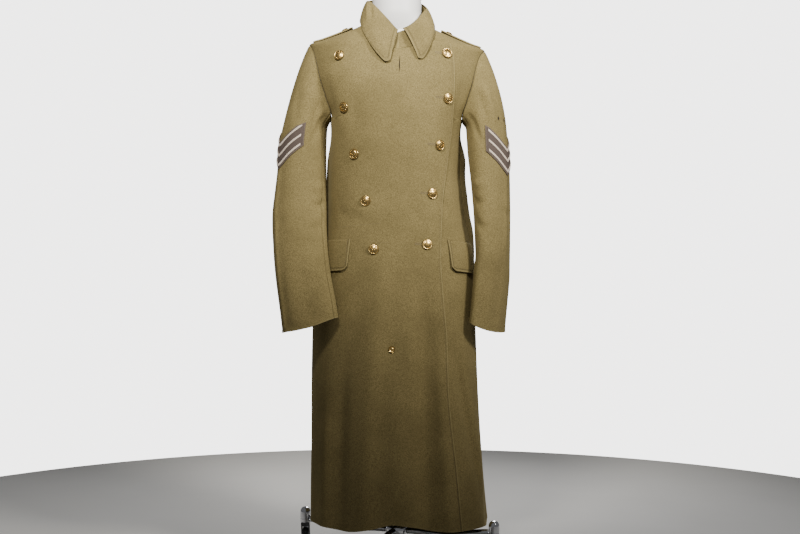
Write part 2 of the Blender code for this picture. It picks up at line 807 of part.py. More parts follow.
def build_collar_leaf():
    rows = 7
    outer = [[] for _ in range(rows + 1)]
    for turn in collar_turns():
        along = (fold_point(turn + 0.03) - fold_point(turn - 0.03)).normalized()
        up = (Vector((0.0, 0.0, 1.0)) - along * along.z).normalized()
        start = fold_point(turn) + up * (WALL + 3 * GAP + FRONT_STAND_OFF * max(math.cos(turn), 0.0))
        away = Vector((math.sin(turn), -math.cos(turn), 0.0))
        end = leaf_edge(turn)
        leave = (away + Vector((0.0, 0.0, 0.20))) * (ROLL_REACH + FRONT_ROLL * max(math.cos(turn), 0.0))
        arrive = end - start
        arrive -= away * arrive.dot(away)
        for i in range(rows + 1):
            t = (i / rows) ** 1.35
            point = (
                start * (1 + 2 * t) * (1 - t) ** 2
                + leave * t * (1 - t) ** 2
                + end * t * t * (3 - 2 * t)
                + arrive * t * t * (t - 1)
            )
            outer[rows - i].append(point)
    return close_wall("collar_leaf", outer, grid_offset(outer, -WALL))


# Shoulder straps and pocket flaps


def shoulder_rise(across, forward):
    """Height of the shoulder's top over a place on the plan."""
    low, high = 1.26, 1.37
    for _ in range(40):
        middle = (low + high) / 2
        ring = ring_at(middle)
        side = ring["left"]
        depth = ring["front"] if forward > 0 else ring["back"]
        reach = abs(across / side) ** ring["power"] + abs(forward / depth) ** ring["power"]
        if reach < 1.0:
            low = middle
        else:
            high = middle
    return (low + high) / 2


def build_strap(name, side):
    near, far = STRAP_NEAR, STRAP_FAR
    rows = 9
    outer = []
    for forward in (-1.0, -0.5, 0.0, 0.5, 1.0):
        line = []
        for j in range(rows + 1):
            part = j / rows
            narrow = 1.0 - 0.55 * (1.0 - clamp(part / 0.16)) ** 2
            across = mix(near, far, part)
            y = forward * STRAP_HALF * narrow
            rise = shoulder_rise(across, y)
            lean = SHOULDER_LEAN * side * across
            lift = STRAP_LIFT + STRAP_ARCH * (1.0 - part) ** 2
            line.append(Vector((side * across, -y, rise + lean + lift + STRAP_WALL)))
        outer.append(line)
    inner = [[point - Vector((0.0, 0.0, STRAP_WALL)) for point in row] for row in outer]
    return close_wall(name, outer, inner)


def build_flap(flap):
    columns, rows = 8, 4
    outer, inner = [], []
    for i in range(rows + 1):
        down = i / rows
        outside, inside = [], []
        for j in range(columns + 1):
            part = j / columns
            turn = flap.side * math.radians(mix(flap.near, flap.far, part))
            corner = FLAP_CORNER * (1.0 - clamp(part / 0.14)) ** 2 * down
            rise = mix(flap.near_rise, flap.far_rise, part) - (flap.depth - corner) * down
            lift = FLAP_STAND_OFF + FLAP_FLARE * down * (1.0 - part) ** 1.5
            lift += top_layer(turn) if flap.side < 0 else 0.0
            outside.append(body_point(turn, rise, lift + FLAP_WALL))
            inside.append(body_point(turn, rise, lift))
        outer.append(outside)
        inner.append(inside)
    return close_wall(flap.name, outer, inner)


# Turned pieces


def turned(name, profile, sides):
    """A solid turned about its own Z axis. The profile's (radius, height)
    points run down the outer side, from the axis back to the axis."""
    data = bpy.data.meshes.new(name)
    points = [(radius, 0.0, height) for radius, height in profile]
    data.from_pydata(points, [(i, i + 1) for i in range(len(points) - 1)], [])
    piece = bpy.data.objects.new(name, data)
    screw = piece.modifiers.new("turn", "SCREW")
    screw.axis = "Z"
    screw.angle = 2 * math.pi
    screw.steps = sides
    screw.render_steps = sides
    screw.use_merge_vertices = True
    screw.merge_threshold = 0.00001
    screw.use_smooth_shade = True
    return piece


def button_profile(radius, ring=False):
    shank = radius * BUTTON_FOOT
    foot = radius * 0.16
    thick = radius * 0.52
    if ring:
        return [
            (0.0, thick), (radius * 0.30, thick * 0.92), (radius * 0.42, thick * 0.62),
            (radius * 0.66, thick * 0.62), (radius * 0.86, thick * 0.90), (radius, thick * 0.60),
            (radius * 0.92, foot), (shank, foot), (shank, 0.0), (0.0, 0.0),
        ]
    return [
        (0.0, thick), (radius * 0.50, thick * 0.94), (radius * 0.84, thick * 0.72),
        (radius, thick * 0.48), (radius * 0.94, foot), (shank, foot), (shank, 0.0), (0.0, 0.0),
    ]


def set_on_surface(piece, point, normal):
    turn = Vector((0.0, 0.0, 1.0)).rotation_difference(normal)
    piece.matrix_basis = Matrix.Translation(point) @ turn.to_matrix().to_4x4()


def rise_round(face, seat, facing, radius):
    """How far a panel rises round a foot's rim above the plane at its middle."""
    side = facing.orthogonal().normalized()
    highest = 0.0
    for j in range(8):
        arm = Matrix.Rotation(math.tau * j / 8, 3, facing) @ side
        spot = face.ray_cast(seat + arm * radius + facing * 0.01, -facing)[0]
        highest = max(highest, (spot - seat).dot(facing))
    return highest


def build_buttons(panel):
    """The buttons of the top front, each seated on the panel's own face."""
    panel.data.calc_loop_triangles()
    triangles = [tri.vertices for tri in panel.data.loop_triangles]
    face = BVHTree.FromPolygons([v.co for v in panel.data.vertices], triangles)
    pieces = []
    for spot in BUTTONS + (SKIRT_BUTTON,):
        small = spot is SKIRT_BUTTON
        radius = SMALL_BUTTON if small else LARGE_BUTTON
        piece = turned(spot.name, button_profile(radius, ring=small), BUTTON_SIDES)
        turn = turn_at(spot.across, spot.rise)
        normal = surface_normal(body_surface, turn, spot.rise, 0.02, 0.002)
        seat, facing, _, _ = face.ray_cast(body_point(turn, spot.rise, 0.03), -normal)
        level = GAP + rise_round(face, seat, facing, radius * BUTTON_FOOT * 1.1)
        set_on_surface(piece, seat + facing * level, facing)
        pieces.append(piece)
    return pieces


def build_strap_button(name, side):
    piece = turned(name, button_profile(SMALL_BUTTON), BUTTON_SIDES)
    across = STRAP_BUTTON_X
    lean = SHOULDER_LEAN * side * across
    part = (across - STRAP_NEAR) / (STRAP_FAR - STRAP_NEAR)
    lift = STRAP_LIFT + STRAP_ARCH * (1.0 - part) ** 2 + STRAP_WALL
    height = shoulder_rise(across, 0.0) + lean + lift + 2 * GAP
    slope = Vector((side * STRAP_SLOPE, 0.0, 1.0)).normalized()
    set_on_surface(piece, Vector((side * across, 0.0, height)), slope)
    return piece


# Form and stand


def form_inset(turn, rise):
    """How deep the form lies below the cloth's outer face. It carries the
    coat along the shoulders and stands clear of it elsewhere."""
    shoulder = abs(math.sin(turn)) ** 60 * ease((rise - 1.24) / 0.06)
    shoulder *= 1.0 - ease((rise - 1.334) / 0.012)
    pit = 0.013 if math.cos(turn) > 0 else 0.004
    pit *= math.cos(turn) ** 2 * ease((rise - 1.270) / 0.06)
    return mix(FORM_INSET + pit, WALL + 4 * GAP, shoulder)


def build_form():
    sides = 24
    levels = [FORM_BOTTOM, 0.82, 0.88, 0.95, 1.02, 1.09, 1.15, 1.20, 1.245, 1.28, 1.3005]
    levels += [1.3145, 1.329, 1.3425, 1.355, 1.3645]
    rings = []
    for rise in levels:
        turns = [2 * math.pi * j / sides for j in range(sides)]
        rings.append([body_point(turn, rise, -form_inset(turn, rise)) for turn in turns])
    for point in rings[0]:
        point.z = FORM_BOTTOM
    for rise, radius in ((1.385, 0.0615), (1.410, 0.0620), (NECK_TOP - 0.008, NECK_RADIUS), (NECK_TOP, 0.0565)):
        ring = []
        for j in range(sides):
            turn = 2 * math.pi * j / sides
            ring.append(Vector((radius * math.sin(turn), -0.006 - radius * math.cos(turn), rise)))
        rings.append(ring)
    mesh = bmesh.new()
    verts = [[mesh.verts.new(p) for p in ring] for ring in rings]
    for low, high in zip(verts, verts[1:]):
        for j in range(sides):
            k = (j + 1) % sides
            mesh.faces.new((low[j], low[k], high[k], high[j]))
    mesh.faces.new(verts[0][::-1])
    mesh.faces.new(verts[-1])
    bmesh.ops.recalc_face_normals(mesh, faces=mesh.faces)
    return finish_mesh("form_torso", mesh, 50.0)


def tube(name, points, radius):
    curve = bpy.data.curves.new(name, "CURVE")
    curve.dimensions = "3D"
    curve.bevel_depth = radius
    curve.bevel_resolution = 2
    curve.use_fill_caps = True
    spline = curve.splines.new("POLY")
    spline.points.add(len(points) - 1)
    for target, point in zip(spline.points, points):
        target.co = (*point, 1.0)
    return bpy.data.objects.new(name, curve)


def build_leg(index, turn):
    """A leg's tube, arched a little from the hub to its socket."""
    steps = 6
    inner, outer = HUB_RADIUS + GAP, SOCKET_REACH - SOCKET_RADIUS - 0.0008
    points = []
    for i in range(steps + 1):
        part = i / steps
        reach = mix(inner, outer, part)
        rise = mix(0.0880, 0.0985, part) - 0.008 * math.sin(math.pi * part) ** 2
        points.append((reach * math.cos(turn), reach * math.sin(turn), rise))
    return tube(f"leg_{index}", points, LEG_RADIUS)


def build_fork(name):
    """Crown and two cheeks of a caster, trailing along its own -Y."""
    half = WHEEL_HALF + FORK_CLEAR
    outside = half + FORK_CHEEK
    axle = AXLE_RISE
    crown_low = 2 * WHEEL_RADIUS + 0.0030
    foot = 0.0065
    profile = (
        (-outside, axle - foot), (-outside, FORK_TOP), (outside, FORK_TOP), (outside, axle - foot),
        (half, axle - foot), (half, crown_low), (-half, crown_low), (-half, axle - foot),
    )
    mesh = bmesh.new()
    front, back = [], []
    for x, z in profile:
        part = clamp((FORK_TOP - z) / (FORK_TOP - axle))
        trail = -CASTER_TRAIL * part
        thick = mix(0.0125, 0.0065, part)
        front.append(mesh.verts.new((x, trail - thick, z)))
        back.append(mesh.verts.new((x, trail + thick, z)))
    count = len(profile)
    for j in range(count):
        k = (j + 1) % count
        mesh.faces.new((front[j], front[k], back[k], back[j]))
    left, top, right = (0, 1, 6, 7), (1, 2, 5, 6), (2, 3, 4, 5)
    for face in (left, top, right):
        mesh.faces.new([front[i] for i in face])
        mesh.faces.new([back[i] for i in reversed(face)])
    bmesh.ops.recalc_face_normals(mesh, faces=mesh.faces)
    return finish_mesh(name, mesh, 30.0)


def wheel_profile():
    half = WHEEL_HALF
    face = WHEEL_HALF - 0.0030
    return [
        (0.0, half), (0.0095, half), (0.0110, face), (0.0285, face), (0.0300, half - 0.0008),
        (WHEEL_RADIUS - 0.0022, half - 0.0008), (WHEEL_RADIUS, half - 0.0030),
        (WHEEL_RADIUS, -half + 0.0030), (WHEEL_RADIUS - 0.0022, -half + 0.0008), (0.0300, -half + 0.0008),
        (0.0285, -face), (0.0110, -face), (0.0095, -half), (0.0, -half),
    ]


def stand_wheel():
    """Turns a wheel's axle across the caster, a flat of its tread down."""
    half_step = Matrix.Rotation(math.pi / WHEEL_SIDES, 4, "Z")
    return Matrix.Rotation(math.pi / 2, 4, "Y") @ half_step


def socket_profile():
    r = SOCKET_RADIUS
    return [
        (0.0, SOCKET_HIGH), (r * 0.55, SOCKET_HIGH - 0.0018), (r * 0.88, SOCKET_HIGH - 0.0062),
        (r, SOCKET_HIGH - 0.0125), (r, SOCKET_LOW), (0.0, SOCKET_LOW),
    ]


def build_stand():
    pieces = []
    pole_low, pole_high = HUB_HIGH + GAP, FORM_BOTTOM - GAP
    pole = turned("pole", [(0.0, pole_high), (POLE_RADIUS, pole_high), (POLE_RADIUS, pole_low), (0.0, pole_low)], 16)
    hub = turned("hub", [
        (0.0, HUB_HIGH), (HUB_RADIUS - 0.006, HUB_HIGH), (HUB_RADIUS, HUB_HIGH - 0.005),
        (HUB_RADIUS, HUB_LOW + 0.004), (HUB_RADIUS - 0.004, HUB_LOW), (0.0, HUB_LOW),
    ], 20)
    pieces += [pole, hub]
    for index, degrees in enumerate(LEG_TURNS, start=1):
        turn = math.radians(degrees)
        place = Vector((SOCKET_REACH * math.cos(turn), SOCKET_REACH * math.sin(turn), 0.0))
        pieces.append(build_leg(index, turn))
        socket = turned(f"socket_{index}", socket_profile(), 14)
        socket.location = place
        away = 0.0 if place.y < 0 else math.pi
        fork = build_fork(f"caster_fork_{index}")
        fork.location = place
        fork.rotation_euler = (0.0, 0.0, away)
        wheel = turned(f"caster_wheel_{index}", wheel_profile(), WHEEL_SIDES)
        trail = -CASTER_TRAIL if place.y < 0 else CASTER_TRAIL
        wheel.location = place + Vector((0.0, trail, AXLE_RISE))
        wheel.matrix_basis = Matrix.Translation(wheel.location) @ stand_wheel()
        pieces += [socket, fork, wheel]
    return pieces


# Materials and assembly


def material(name, colour, roughness, metallic=0.0):
    finish = bpy.data.materials.new(name)
    finish.use_nodes = True
    shader = finish.node_tree.nodes["Principled BSDF"]
    shader.inputs["Base Color"].default_value = (*colour, 1.0)
    shader.inputs["Roughness"].default_value = roughness
    shader.inputs["Metallic"].default_value = metallic
    finish.diffuse_color = (*colour, 1.0)
    return finish


FINISHES = (
    ("chevron_patch", "patch_felt", (0.110, 0.085, 0.070), 0.95, 0.0),
    ("chevron_bar", "worsted_braid", (0.62, 0.52, 0.45), 0.90, 0.0),
    ("button", "brass", (0.62, 0.42, 0.14), 0.28, 1.0),
    ("form", "form_shell", (0.80, 0.79, 0.77), 0.55, 0.0),
    ("caster_wheel", "wheel_rubber", (0.05, 0.05, 0.055), 0.60, 0.0),
    ("caster_fork", "dark_steel", (0.10, 0.10, 0.10), 0.35, 1.0),
    ("", "khaki_melton", (0.20, 0.155, 0.070), 0.95, 0.0),
)
CHROME_WORDS = ("pole", "hub", "leg", "socket")


def main():
    for thing in list(bpy.data.objects):
        bpy.data.objects.remove(thing, do_unlink=True)
    collection = bpy.data.collections.new("military_greatcoat")
    bpy.context.scene.collection.children.link(collection)
    centre = bpy.data.objects.new("neck_centre", None)
    centre.location = (NECK_X, NECK_Y, 0.0)
    collection.objects.link(centre)

    pieces = [
        build_front("right_front", -1, True),
        build_front("left_front", 1, False),
        build_back("back_left", -1),
        build_back("back_right", 1),
        build_collar_stand(),
        build_collar_leaf(),
    ]
    for side, word in ((-1, "left"), (1, "right")):
        pieces.append(build_sleeve(f"top_sleeve_{word}", side, FOREARM_SEAM, ELBOW_SEAM))
        pieces.append(build_sleeve(f"under_sleeve_{word}", side, ELBOW_SEAM, SLEEVE_STEPS + FOREARM_SEAM))
        pieces.append(build_strap(f"shoulder_strap_{word}", side))
        pieces.append(build_strap_button(f"button_strap_{word}", side))
        pieces += build_chevrons(side, word)
    pieces += [build_flap(flap) for flap in FLAPS]
    pieces += build_buttons(pieces[0])
    pieces.append(build_form())
    pieces += build_stand()

    chrome = material("chrome", (0.62, 0.62, 0.64), 0.12, 1.0)
    made = {name: material(name, colour, rough, metal) for _, name, colour, rough, metal in FINISHES}
    for piece in pieces:
        collection.objects.link(piece)
        piece.parent = centre
        if piece.name.startswith(CHROME_WORDS):
            finish = chrome
        else:
            finish = made[next(row[1] for row in FINISHES if piece.name.startswith(row[0]))]
        piece.data.materials.append(finish)


main()
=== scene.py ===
"""A long double-breasted army greatcoat of khaki melton on a white dress form
with a castered stand. Metres, +Z up, the coat's front faces -Y."""

import math
from collections import namedtuple

import bpy
import numpy as np
from mathutils import Matrix, Vector


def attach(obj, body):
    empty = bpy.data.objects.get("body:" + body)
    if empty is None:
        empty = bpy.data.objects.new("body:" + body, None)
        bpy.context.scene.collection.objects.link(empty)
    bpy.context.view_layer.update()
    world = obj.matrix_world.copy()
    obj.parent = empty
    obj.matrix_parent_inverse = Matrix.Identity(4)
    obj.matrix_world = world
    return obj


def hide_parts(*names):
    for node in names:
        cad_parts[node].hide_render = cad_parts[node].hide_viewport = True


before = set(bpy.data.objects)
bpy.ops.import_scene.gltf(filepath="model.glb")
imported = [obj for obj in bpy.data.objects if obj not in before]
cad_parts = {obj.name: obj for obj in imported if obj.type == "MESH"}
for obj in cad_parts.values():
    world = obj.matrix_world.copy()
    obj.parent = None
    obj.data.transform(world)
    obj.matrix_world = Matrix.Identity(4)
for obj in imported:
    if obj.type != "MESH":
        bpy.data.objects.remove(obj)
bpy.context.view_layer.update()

# Cloth
WALL = 0.0020
GAP = 0.0003
LAYER = WALL + 0.0015
UNDER_SINK = 0.0022
NECK_X = 0.0094

# Shoulders, neck and arm openings
ARMPIT_RISE = 1.125
SHOULDER_TIP_RISE = 1.3096
NECK_HALF = 0.081
NECK_SIDE_RISE = 1.3665
NECK_FRONT_DROP = 0.0765
NECK_BACK_RISE = 0.012
SHOULDER_LEAN = -0.034
LEAN_START = 1.00
LEAN_FULL = 1.28
ARMHOLE_FRONT_BITE = 0.077
ARMHOLE_BACK_BITE = 0.060
ARMHOLE_STEPS = 12
SKIRT_ROWS = 12

# Double-breasted fronts
TOP_EDGE_RISE = 1.322
TOP_CORNER_X = 0.128
TOP_CORNER_RISE = 1.312
NECK_TURNS = np.radians((0.0, 22.5, 45.0, 60.0, 70.0, 77.5, 83.5, 87.5, 90.0))
NECK_JOIN = 2
OVERLAP_START = math.radians(58.0)
OVERLAP_FADE = 0.36
TOP_EDGE_STEPS = 3
SHOULDER_STEPS = 5
BACK_NECK_STEPS = 3

# Collar
FOLD_HALF = 0.0735
FOLD_DEPTH = 0.075
FOLD_FRONT_RISE = 1.3370
FOLD_LEFT_RISE = 0.0695
FOLD_RIGHT_RISE = 0.0900
FOLD_SAG = 2.6
FOLD_LINEAR = 0.30
FOLD_BACK_RISE = 0.1130
COLLAR_START = math.radians(12.0)
COLLAR_END = math.radians(362.0)
STAND_START = math.radians(1.5)
STAND_INSET = 0.0027
STAND_LIFT = 0.0014
FOLD_FORWARD = 0.003
LEAF_WALL = 0.0022
LEAF_HEIGHT = 0.075
LEAF_BEND = 1.35
ROLL_REACH = 0.026
FRONT_ROLL = 0.026
FLAP_WALL = 0.0030
FLAP_CORNER = 0.010
FLAP_OFF = 0.0011
FLAP_CURL = 0.0042

# Shoulder straps, buttons and stitching
STRAP_NEAR = 0.112
STRAP_FAR = 0.2125
STRAP_WALL = 0.0032
STRAP_HALF = 0.0225
STRAP_LIFT = 0.0013
STRAP_ARCH = 0.0024
STRAP_PUFF = 0.0005
STRAP_EDGE_DIP = 0.0004
STRAP_BUTTON_X = 0.132
LARGE_BUTTON = 0.0127
SMALL_BUTTON = 0.0082
EDGE_STITCH = 0.0060
LEAF_STITCH = 0.0080
STITCH_PITCH = 0.0034
FLAP_STITCH = 0.0055
STRAP_STITCH = 0.0045
PATCH_STITCH = 0.0016
SHANK_PULL = 0.0011
SHANK_WIDTH = 0.013
BUTTONHOLE_REACH = (-0.027, 0.004)
BUTTONHOLE_HALF = 0.0017
BUTTONHOLE_SLANT = -0.04

# Form and stand
FORM_BOTTOM = 0.760
NECK_TOP = 1.462
POLE_RADIUS = 0.0125
HUB_RADIUS = 0.030
HUB_LOW = 0.070
HUB_HIGH = 0.106
LEG_RADIUS = 0.0085
LEG_TURNS = (160.0, 250.0, 340.0, 70.0)
SOCKET_REACH = 0.255
SOCKET_RADIUS = 0.0135
SOCKET_LOW = 0.0885
SOCKET_HIGH = 0.1290
WHEEL_RADIUS = 0.0375
WHEEL_HALF = 0.0080
AXLE_RISE = WHEEL_RADIUS * math.cos(math.pi / 14)
CASTER_TRAIL = 0.018
FORK_CLEAR = 0.0004
FORK_CHEEK = 0.0022
FORK_TOP = SOCKET_LOW - GAP

Ring = namedtuple("Ring", "rise left right front back power")
BODY = (
    Ring(0.100, 0.2165, 0.2310, 0.160, 0.205, 2.25),
    Ring(0.232, 0.2167, 0.2184, 0.156, 0.194, 2.25),
    Ring(0.430, 0.2167, 0.2057, 0.150, 0.176, 2.25),
    Ring(0.595, 0.2144, 0.1995, 0.145, 0.160, 2.25),
    Ring(0.700, 0.2070, 0.1965, 0.140, 0.149, 2.25),
    Ring(0.773, 0.1970, 0.1900, 0.134, 0.138, 2.25),
    Ring(0.830, 0.1850, 0.1760, 0.128, 0.124, 2.25),
    Ring(0.880, 0.1760, 0.1640, 0.124, 0.112, 2.25),
    Ring(0.935, 0.1715, 0.1570, 0.122, 0.104, 2.25),
    Ring(0.990, 0.1694, 0.1510, 0.124, 0.102, 2.25),
    Ring(1.060, 0.1655, 0.1540, 0.130, 0.106, 2.25),
    Ring(1.125, 0.1700, 0.1665, 0.132, 0.110, 2.25),
    Ring(1.170, 0.1900, 0.1870, 0.130, 0.111, 2.20),
    Ring(1.215, 0.2070, 0.2030, 0.125, 0.109, 2.20),
    Ring(1.260, 0.2165, 0.2120, 0.115, 0.104, 2.10),
    Ring(1.290, 0.2210, 0.2180, 0.104, 0.096, 2.00),
    Ring(1.3096, 0.2235, 0.2235, 0.097, 0.089, 1.95),
    Ring(1.3214, 0.1930, 0.1930, 0.091, 0.084, 1.85),
    Ring(1.335, 0.1580, 0.1580, 0.085, 0.079, 1.80),
    Ring(1.350, 0.1200, 0.1200, 0.079, 0.073, 1.85),
    Ring(1.361, 0.0925, 0.0925, 0.074, 0.068, 2.00),
    Ring(1.3665, 0.0810, 0.0810, 0.070, 0.065, 2.10),
    Ring(1.380, 0.0740, 0.0740, 0.066, 0.062, 2.20),
    Ring(1.400, 0.0700, 0.0700, 0.064, 0.062, 2.20),
)

# Vertical folds of the skirt: turns from the front at the hem and at the top,
# half width in degrees, height at the hem and where each dies out
Fold = namedtuple("Fold", "hem_turn top_turn width height top_rise")
FOLDS = (
    Fold(74.0, 48.0, 6.5, 0.0065, 0.86),
    Fold(27.0, 30.0, 10.0, -0.0060, 0.80),
    Fold(-14.0, -12.0, 13.0, 0.0035, 0.76),
    Fold(-36.0, -30.0, 8.0, -0.0028, 0.62),
    Fold(-76.0, -70.0, 7.0, 0.0055, 0.60),
    Fold(104.0, 99.0, 8.0, 0.0070, 0.82),
    Fold(131.0, 127.0, 9.0, -0.0060, 0.86),
    Fold(152.0, 150.0, 8.0, 0.0075, 0.90),
    Fold(-104.0, -101.0, 9.0, 0.0060, 0.78),
    Fold(-128.0, -125.0, 8.0, -0.0065, 0.84),
    Fold(-150.0, -148.0, 9.0, 0.0070, 0.90),
)

Hem = namedtuple("Hem", "turn rise")
HEM = (
    Hem(-180.0, 0.116),
    Hem(-135.0, 0.118),
    Hem(-90.0, 0.124),
    Hem(-62.0, 0.118),
    Hem(-43.0, 0.113),
    Hem(-22.0, 0.122),
    Hem(-3.0, 0.134),
    Hem(17.0, 0.125),
    Hem(32.0, 0.114),
    Hem(60.0, 0.110),
    Hem(90.0, 0.112),
    Hem(135.0, 0.114),
    Hem(180.0, 0.116),
)

Edge = namedtuple("Edge", "rise across")
FREE_EDGE = (
    Edge(0.100, 0.1610),
    Edge(0.260, 0.1460),
    Edge(0.450, 0.1260),
    Edge(0.590, 0.1215),
    Edge(0.680, 0.1135),
    Edge(0.780, 0.1070),
    Edge(0.900, 0.1108),
    Edge(1.030, 0.1250),
    Edge(1.120, 0.1365),
    Edge(1.230, 0.1415),
    Edge(1.272, 0.1400),
    Edge(1.310, 0.1320),
)

# Arm sections from the top down
Arm = namedtuple("Arm", "rise across forward wide deep yaw")
ARMS = {
    -1: (
        Arm(1.105, 0.2337, 0.002, 0.0565, 0.0700, 0.0),
        Arm(1.050, 0.2390, 0.010, 0.0603, 0.0660, 0.0),
        Arm(0.988, 0.2402, 0.024, 0.0623, 0.0600, 0.0),
        Arm(0.935, 0.2420, 0.040, 0.0650, 0.0530, 0.0),
        Arm(0.887, 0.2430, 0.058, 0.0675, 0.0470, 0.0),
        Arm(0.802, 0.2374, 0.095, 0.0668, 0.0410, 0.0),
        Arm(0.735, 0.2290, 0.119, 0.0672, 0.0370, 0.0),
        Arm(0.650, 0.2147, 0.134, 0.0690, 0.0310, 0.0),
        Arm(0.609, 0.2090, 0.138, 0.0695, 0.0280, 0.0),
    ),
    1: (
        Arm(1.105, 0.2270, 0.000, 0.0700, 0.0510, 76.0),
        Arm(1.050, 0.2310, 0.006, 0.0700, 0.0500, 68.0),
        Arm(0.988, 0.2354, 0.014, 0.0680, 0.0460, 62.0),
        Arm(0.935, 0.2380, 0.020, 0.0670, 0.0430, 61.0),
        Arm(0.877, 0.2398, 0.028, 0.0660, 0.0400, 60.0),
        Arm(0.787, 0.2404, 0.040, 0.0670, 0.0360, 60.0),
        Arm(0.730, 0.2371, 0.048, 0.0680, 0.0330, 54.0),
        Arm(0.661, 0.2308, 0.056, 0.0690, 0.0300, 53.0),
        Arm(0.601, 0.2245, 0.062, 0.0690, 0.0280, 51.0),
    ),
}
CAP_ROWS = 5
SLEEVE_ROWS = 8
FOREARM_SEAM = 2
ELBOW_SEAM = 16
CAP_REACH = -0.20
CAP_LIFT = 0.12
CUFF_TILT = {-1: 0.014, 1: 0.010}
ELBOW_LINE = math.radians(146.0)
ELBOW_RIDGE = 0.035
METRES_PER_DEGREE = 0.00118

# Leaf edge of the collar, from its front tip round to the middle of the back
Leaf = namedtuple("Leaf", "part across forward rise")
RIGHT_LEAF = (
    Leaf(0.00, 0.0520, 0.1200, 1.2660),
    Leaf(0.06, 0.0610, 0.1170, 1.2640),
    Leaf(0.14, 0.0740, 0.1130, 1.2810),
    Leaf(0.26, 0.0860, 0.0985, 1.3100),
    Leaf(0.40, 0.0945, 0.0640, 1.3370),
    Leaf(0.56, 0.0960, 0.0150, 1.3640),
    Leaf(0.72, 0.0880, -0.0420, 1.3710),
    Leaf(0.86, 0.0560, -0.0790, 1.3700),
    Leaf(1.00, 0.0000, -0.0910, 1.3690),
)
LEFT_LEAF = (
    Leaf(0.00, 0.0160, 0.1265, 1.2600),
    Leaf(0.05, 0.0260, 0.1260, 1.2560),
    Leaf(0.14, 0.0460, 0.1210, 1.2740),
    Leaf(0.27, 0.0660, 0.1060, 1.3030),
    Leaf(0.41, 0.0865, 0.0765, 1.3440),
    Leaf(0.56, 0.0945, 0.0150, 1.3750),
    Leaf(0.72, 0.0865, -0.0420, 1.3760),
    Leaf(0.86, 0.0560, -0.0790, 1.3710),
    Leaf(1.00, 0.0000, -0.0910, 1.3690),
)

Spot = namedtuple("Spot", "name across rise")
BUTTONS = (
    Spot("button_left_1", -0.1405, 1.271),
    Spot("button_left_2", -0.1283, 1.146),
    Spot("button_left_3", -0.1028, 1.032),
    Spot("button_left_4", -0.0753, 0.917),
    Spot("button_left_5", -0.0559, 0.798),
    Spot("button_right_1", 0.1218, 1.284),
    Spot("button_right_2", 0.1235, 1.172),
    Spot("button_right_3", 0.1028, 1.055),
    Spot("button_right_4", 0.0853, 0.935),
    Spot("button_right_5", 0.0728, 0.810),
)
SKIRT_BUTTON = Spot("button_skirt", -0.0121, 0.556)

Flap = namedtuple("Flap", "name side near far near_rise far_rise depth")
FLAPS = (
    Flap("pocket_flap_left", -1, 45.5, 80.0, 0.824, 0.818, 0.078),
    Flap("pocket_flap_right", 1, 51.0, 86.0, 0.822, 0.812, 0.077),
)

CHEVRON_TURN = {-1: 146.0, 1: 150.0}
CHEVRON_SPAN = 56.0
CHEVRON_TIPS = {-1: 1.050, 1: 1.040}
CHEVRON_PITCH = 0.0255
CHEVRON_LIFT = 0.050
BAR_HALF = 0.0034
PATCH_RIM = 0.0095
PATCH_SIDE = 1.14
PATCH_WALL = 0.0011
PATCH_OUT = 0.0024
BAR_WALL = 0.0010
BAR_OUT = 0.0034
BAR_CROWN = 0.0006

# two small tears in the right sleeve, above its chevrons, and the short dart below the collar,
# all painted near black as painted shade in their openings: place, and how much each axis is squeezed
Mark = namedtuple("Mark", "place squeeze")
TEARS = (
    Mark((NECK_X + 0.2535, -0.060, 1.1262), (1.0, 0.06, 0.5)),
    Mark((NECK_X + 0.2695, -0.045, 1.1236), (1.0, 0.06, 0.5)),
    Mark((NECK_X + 0.0063, -0.125, 1.2500), (1.7, 0.02, 0.13)),
)
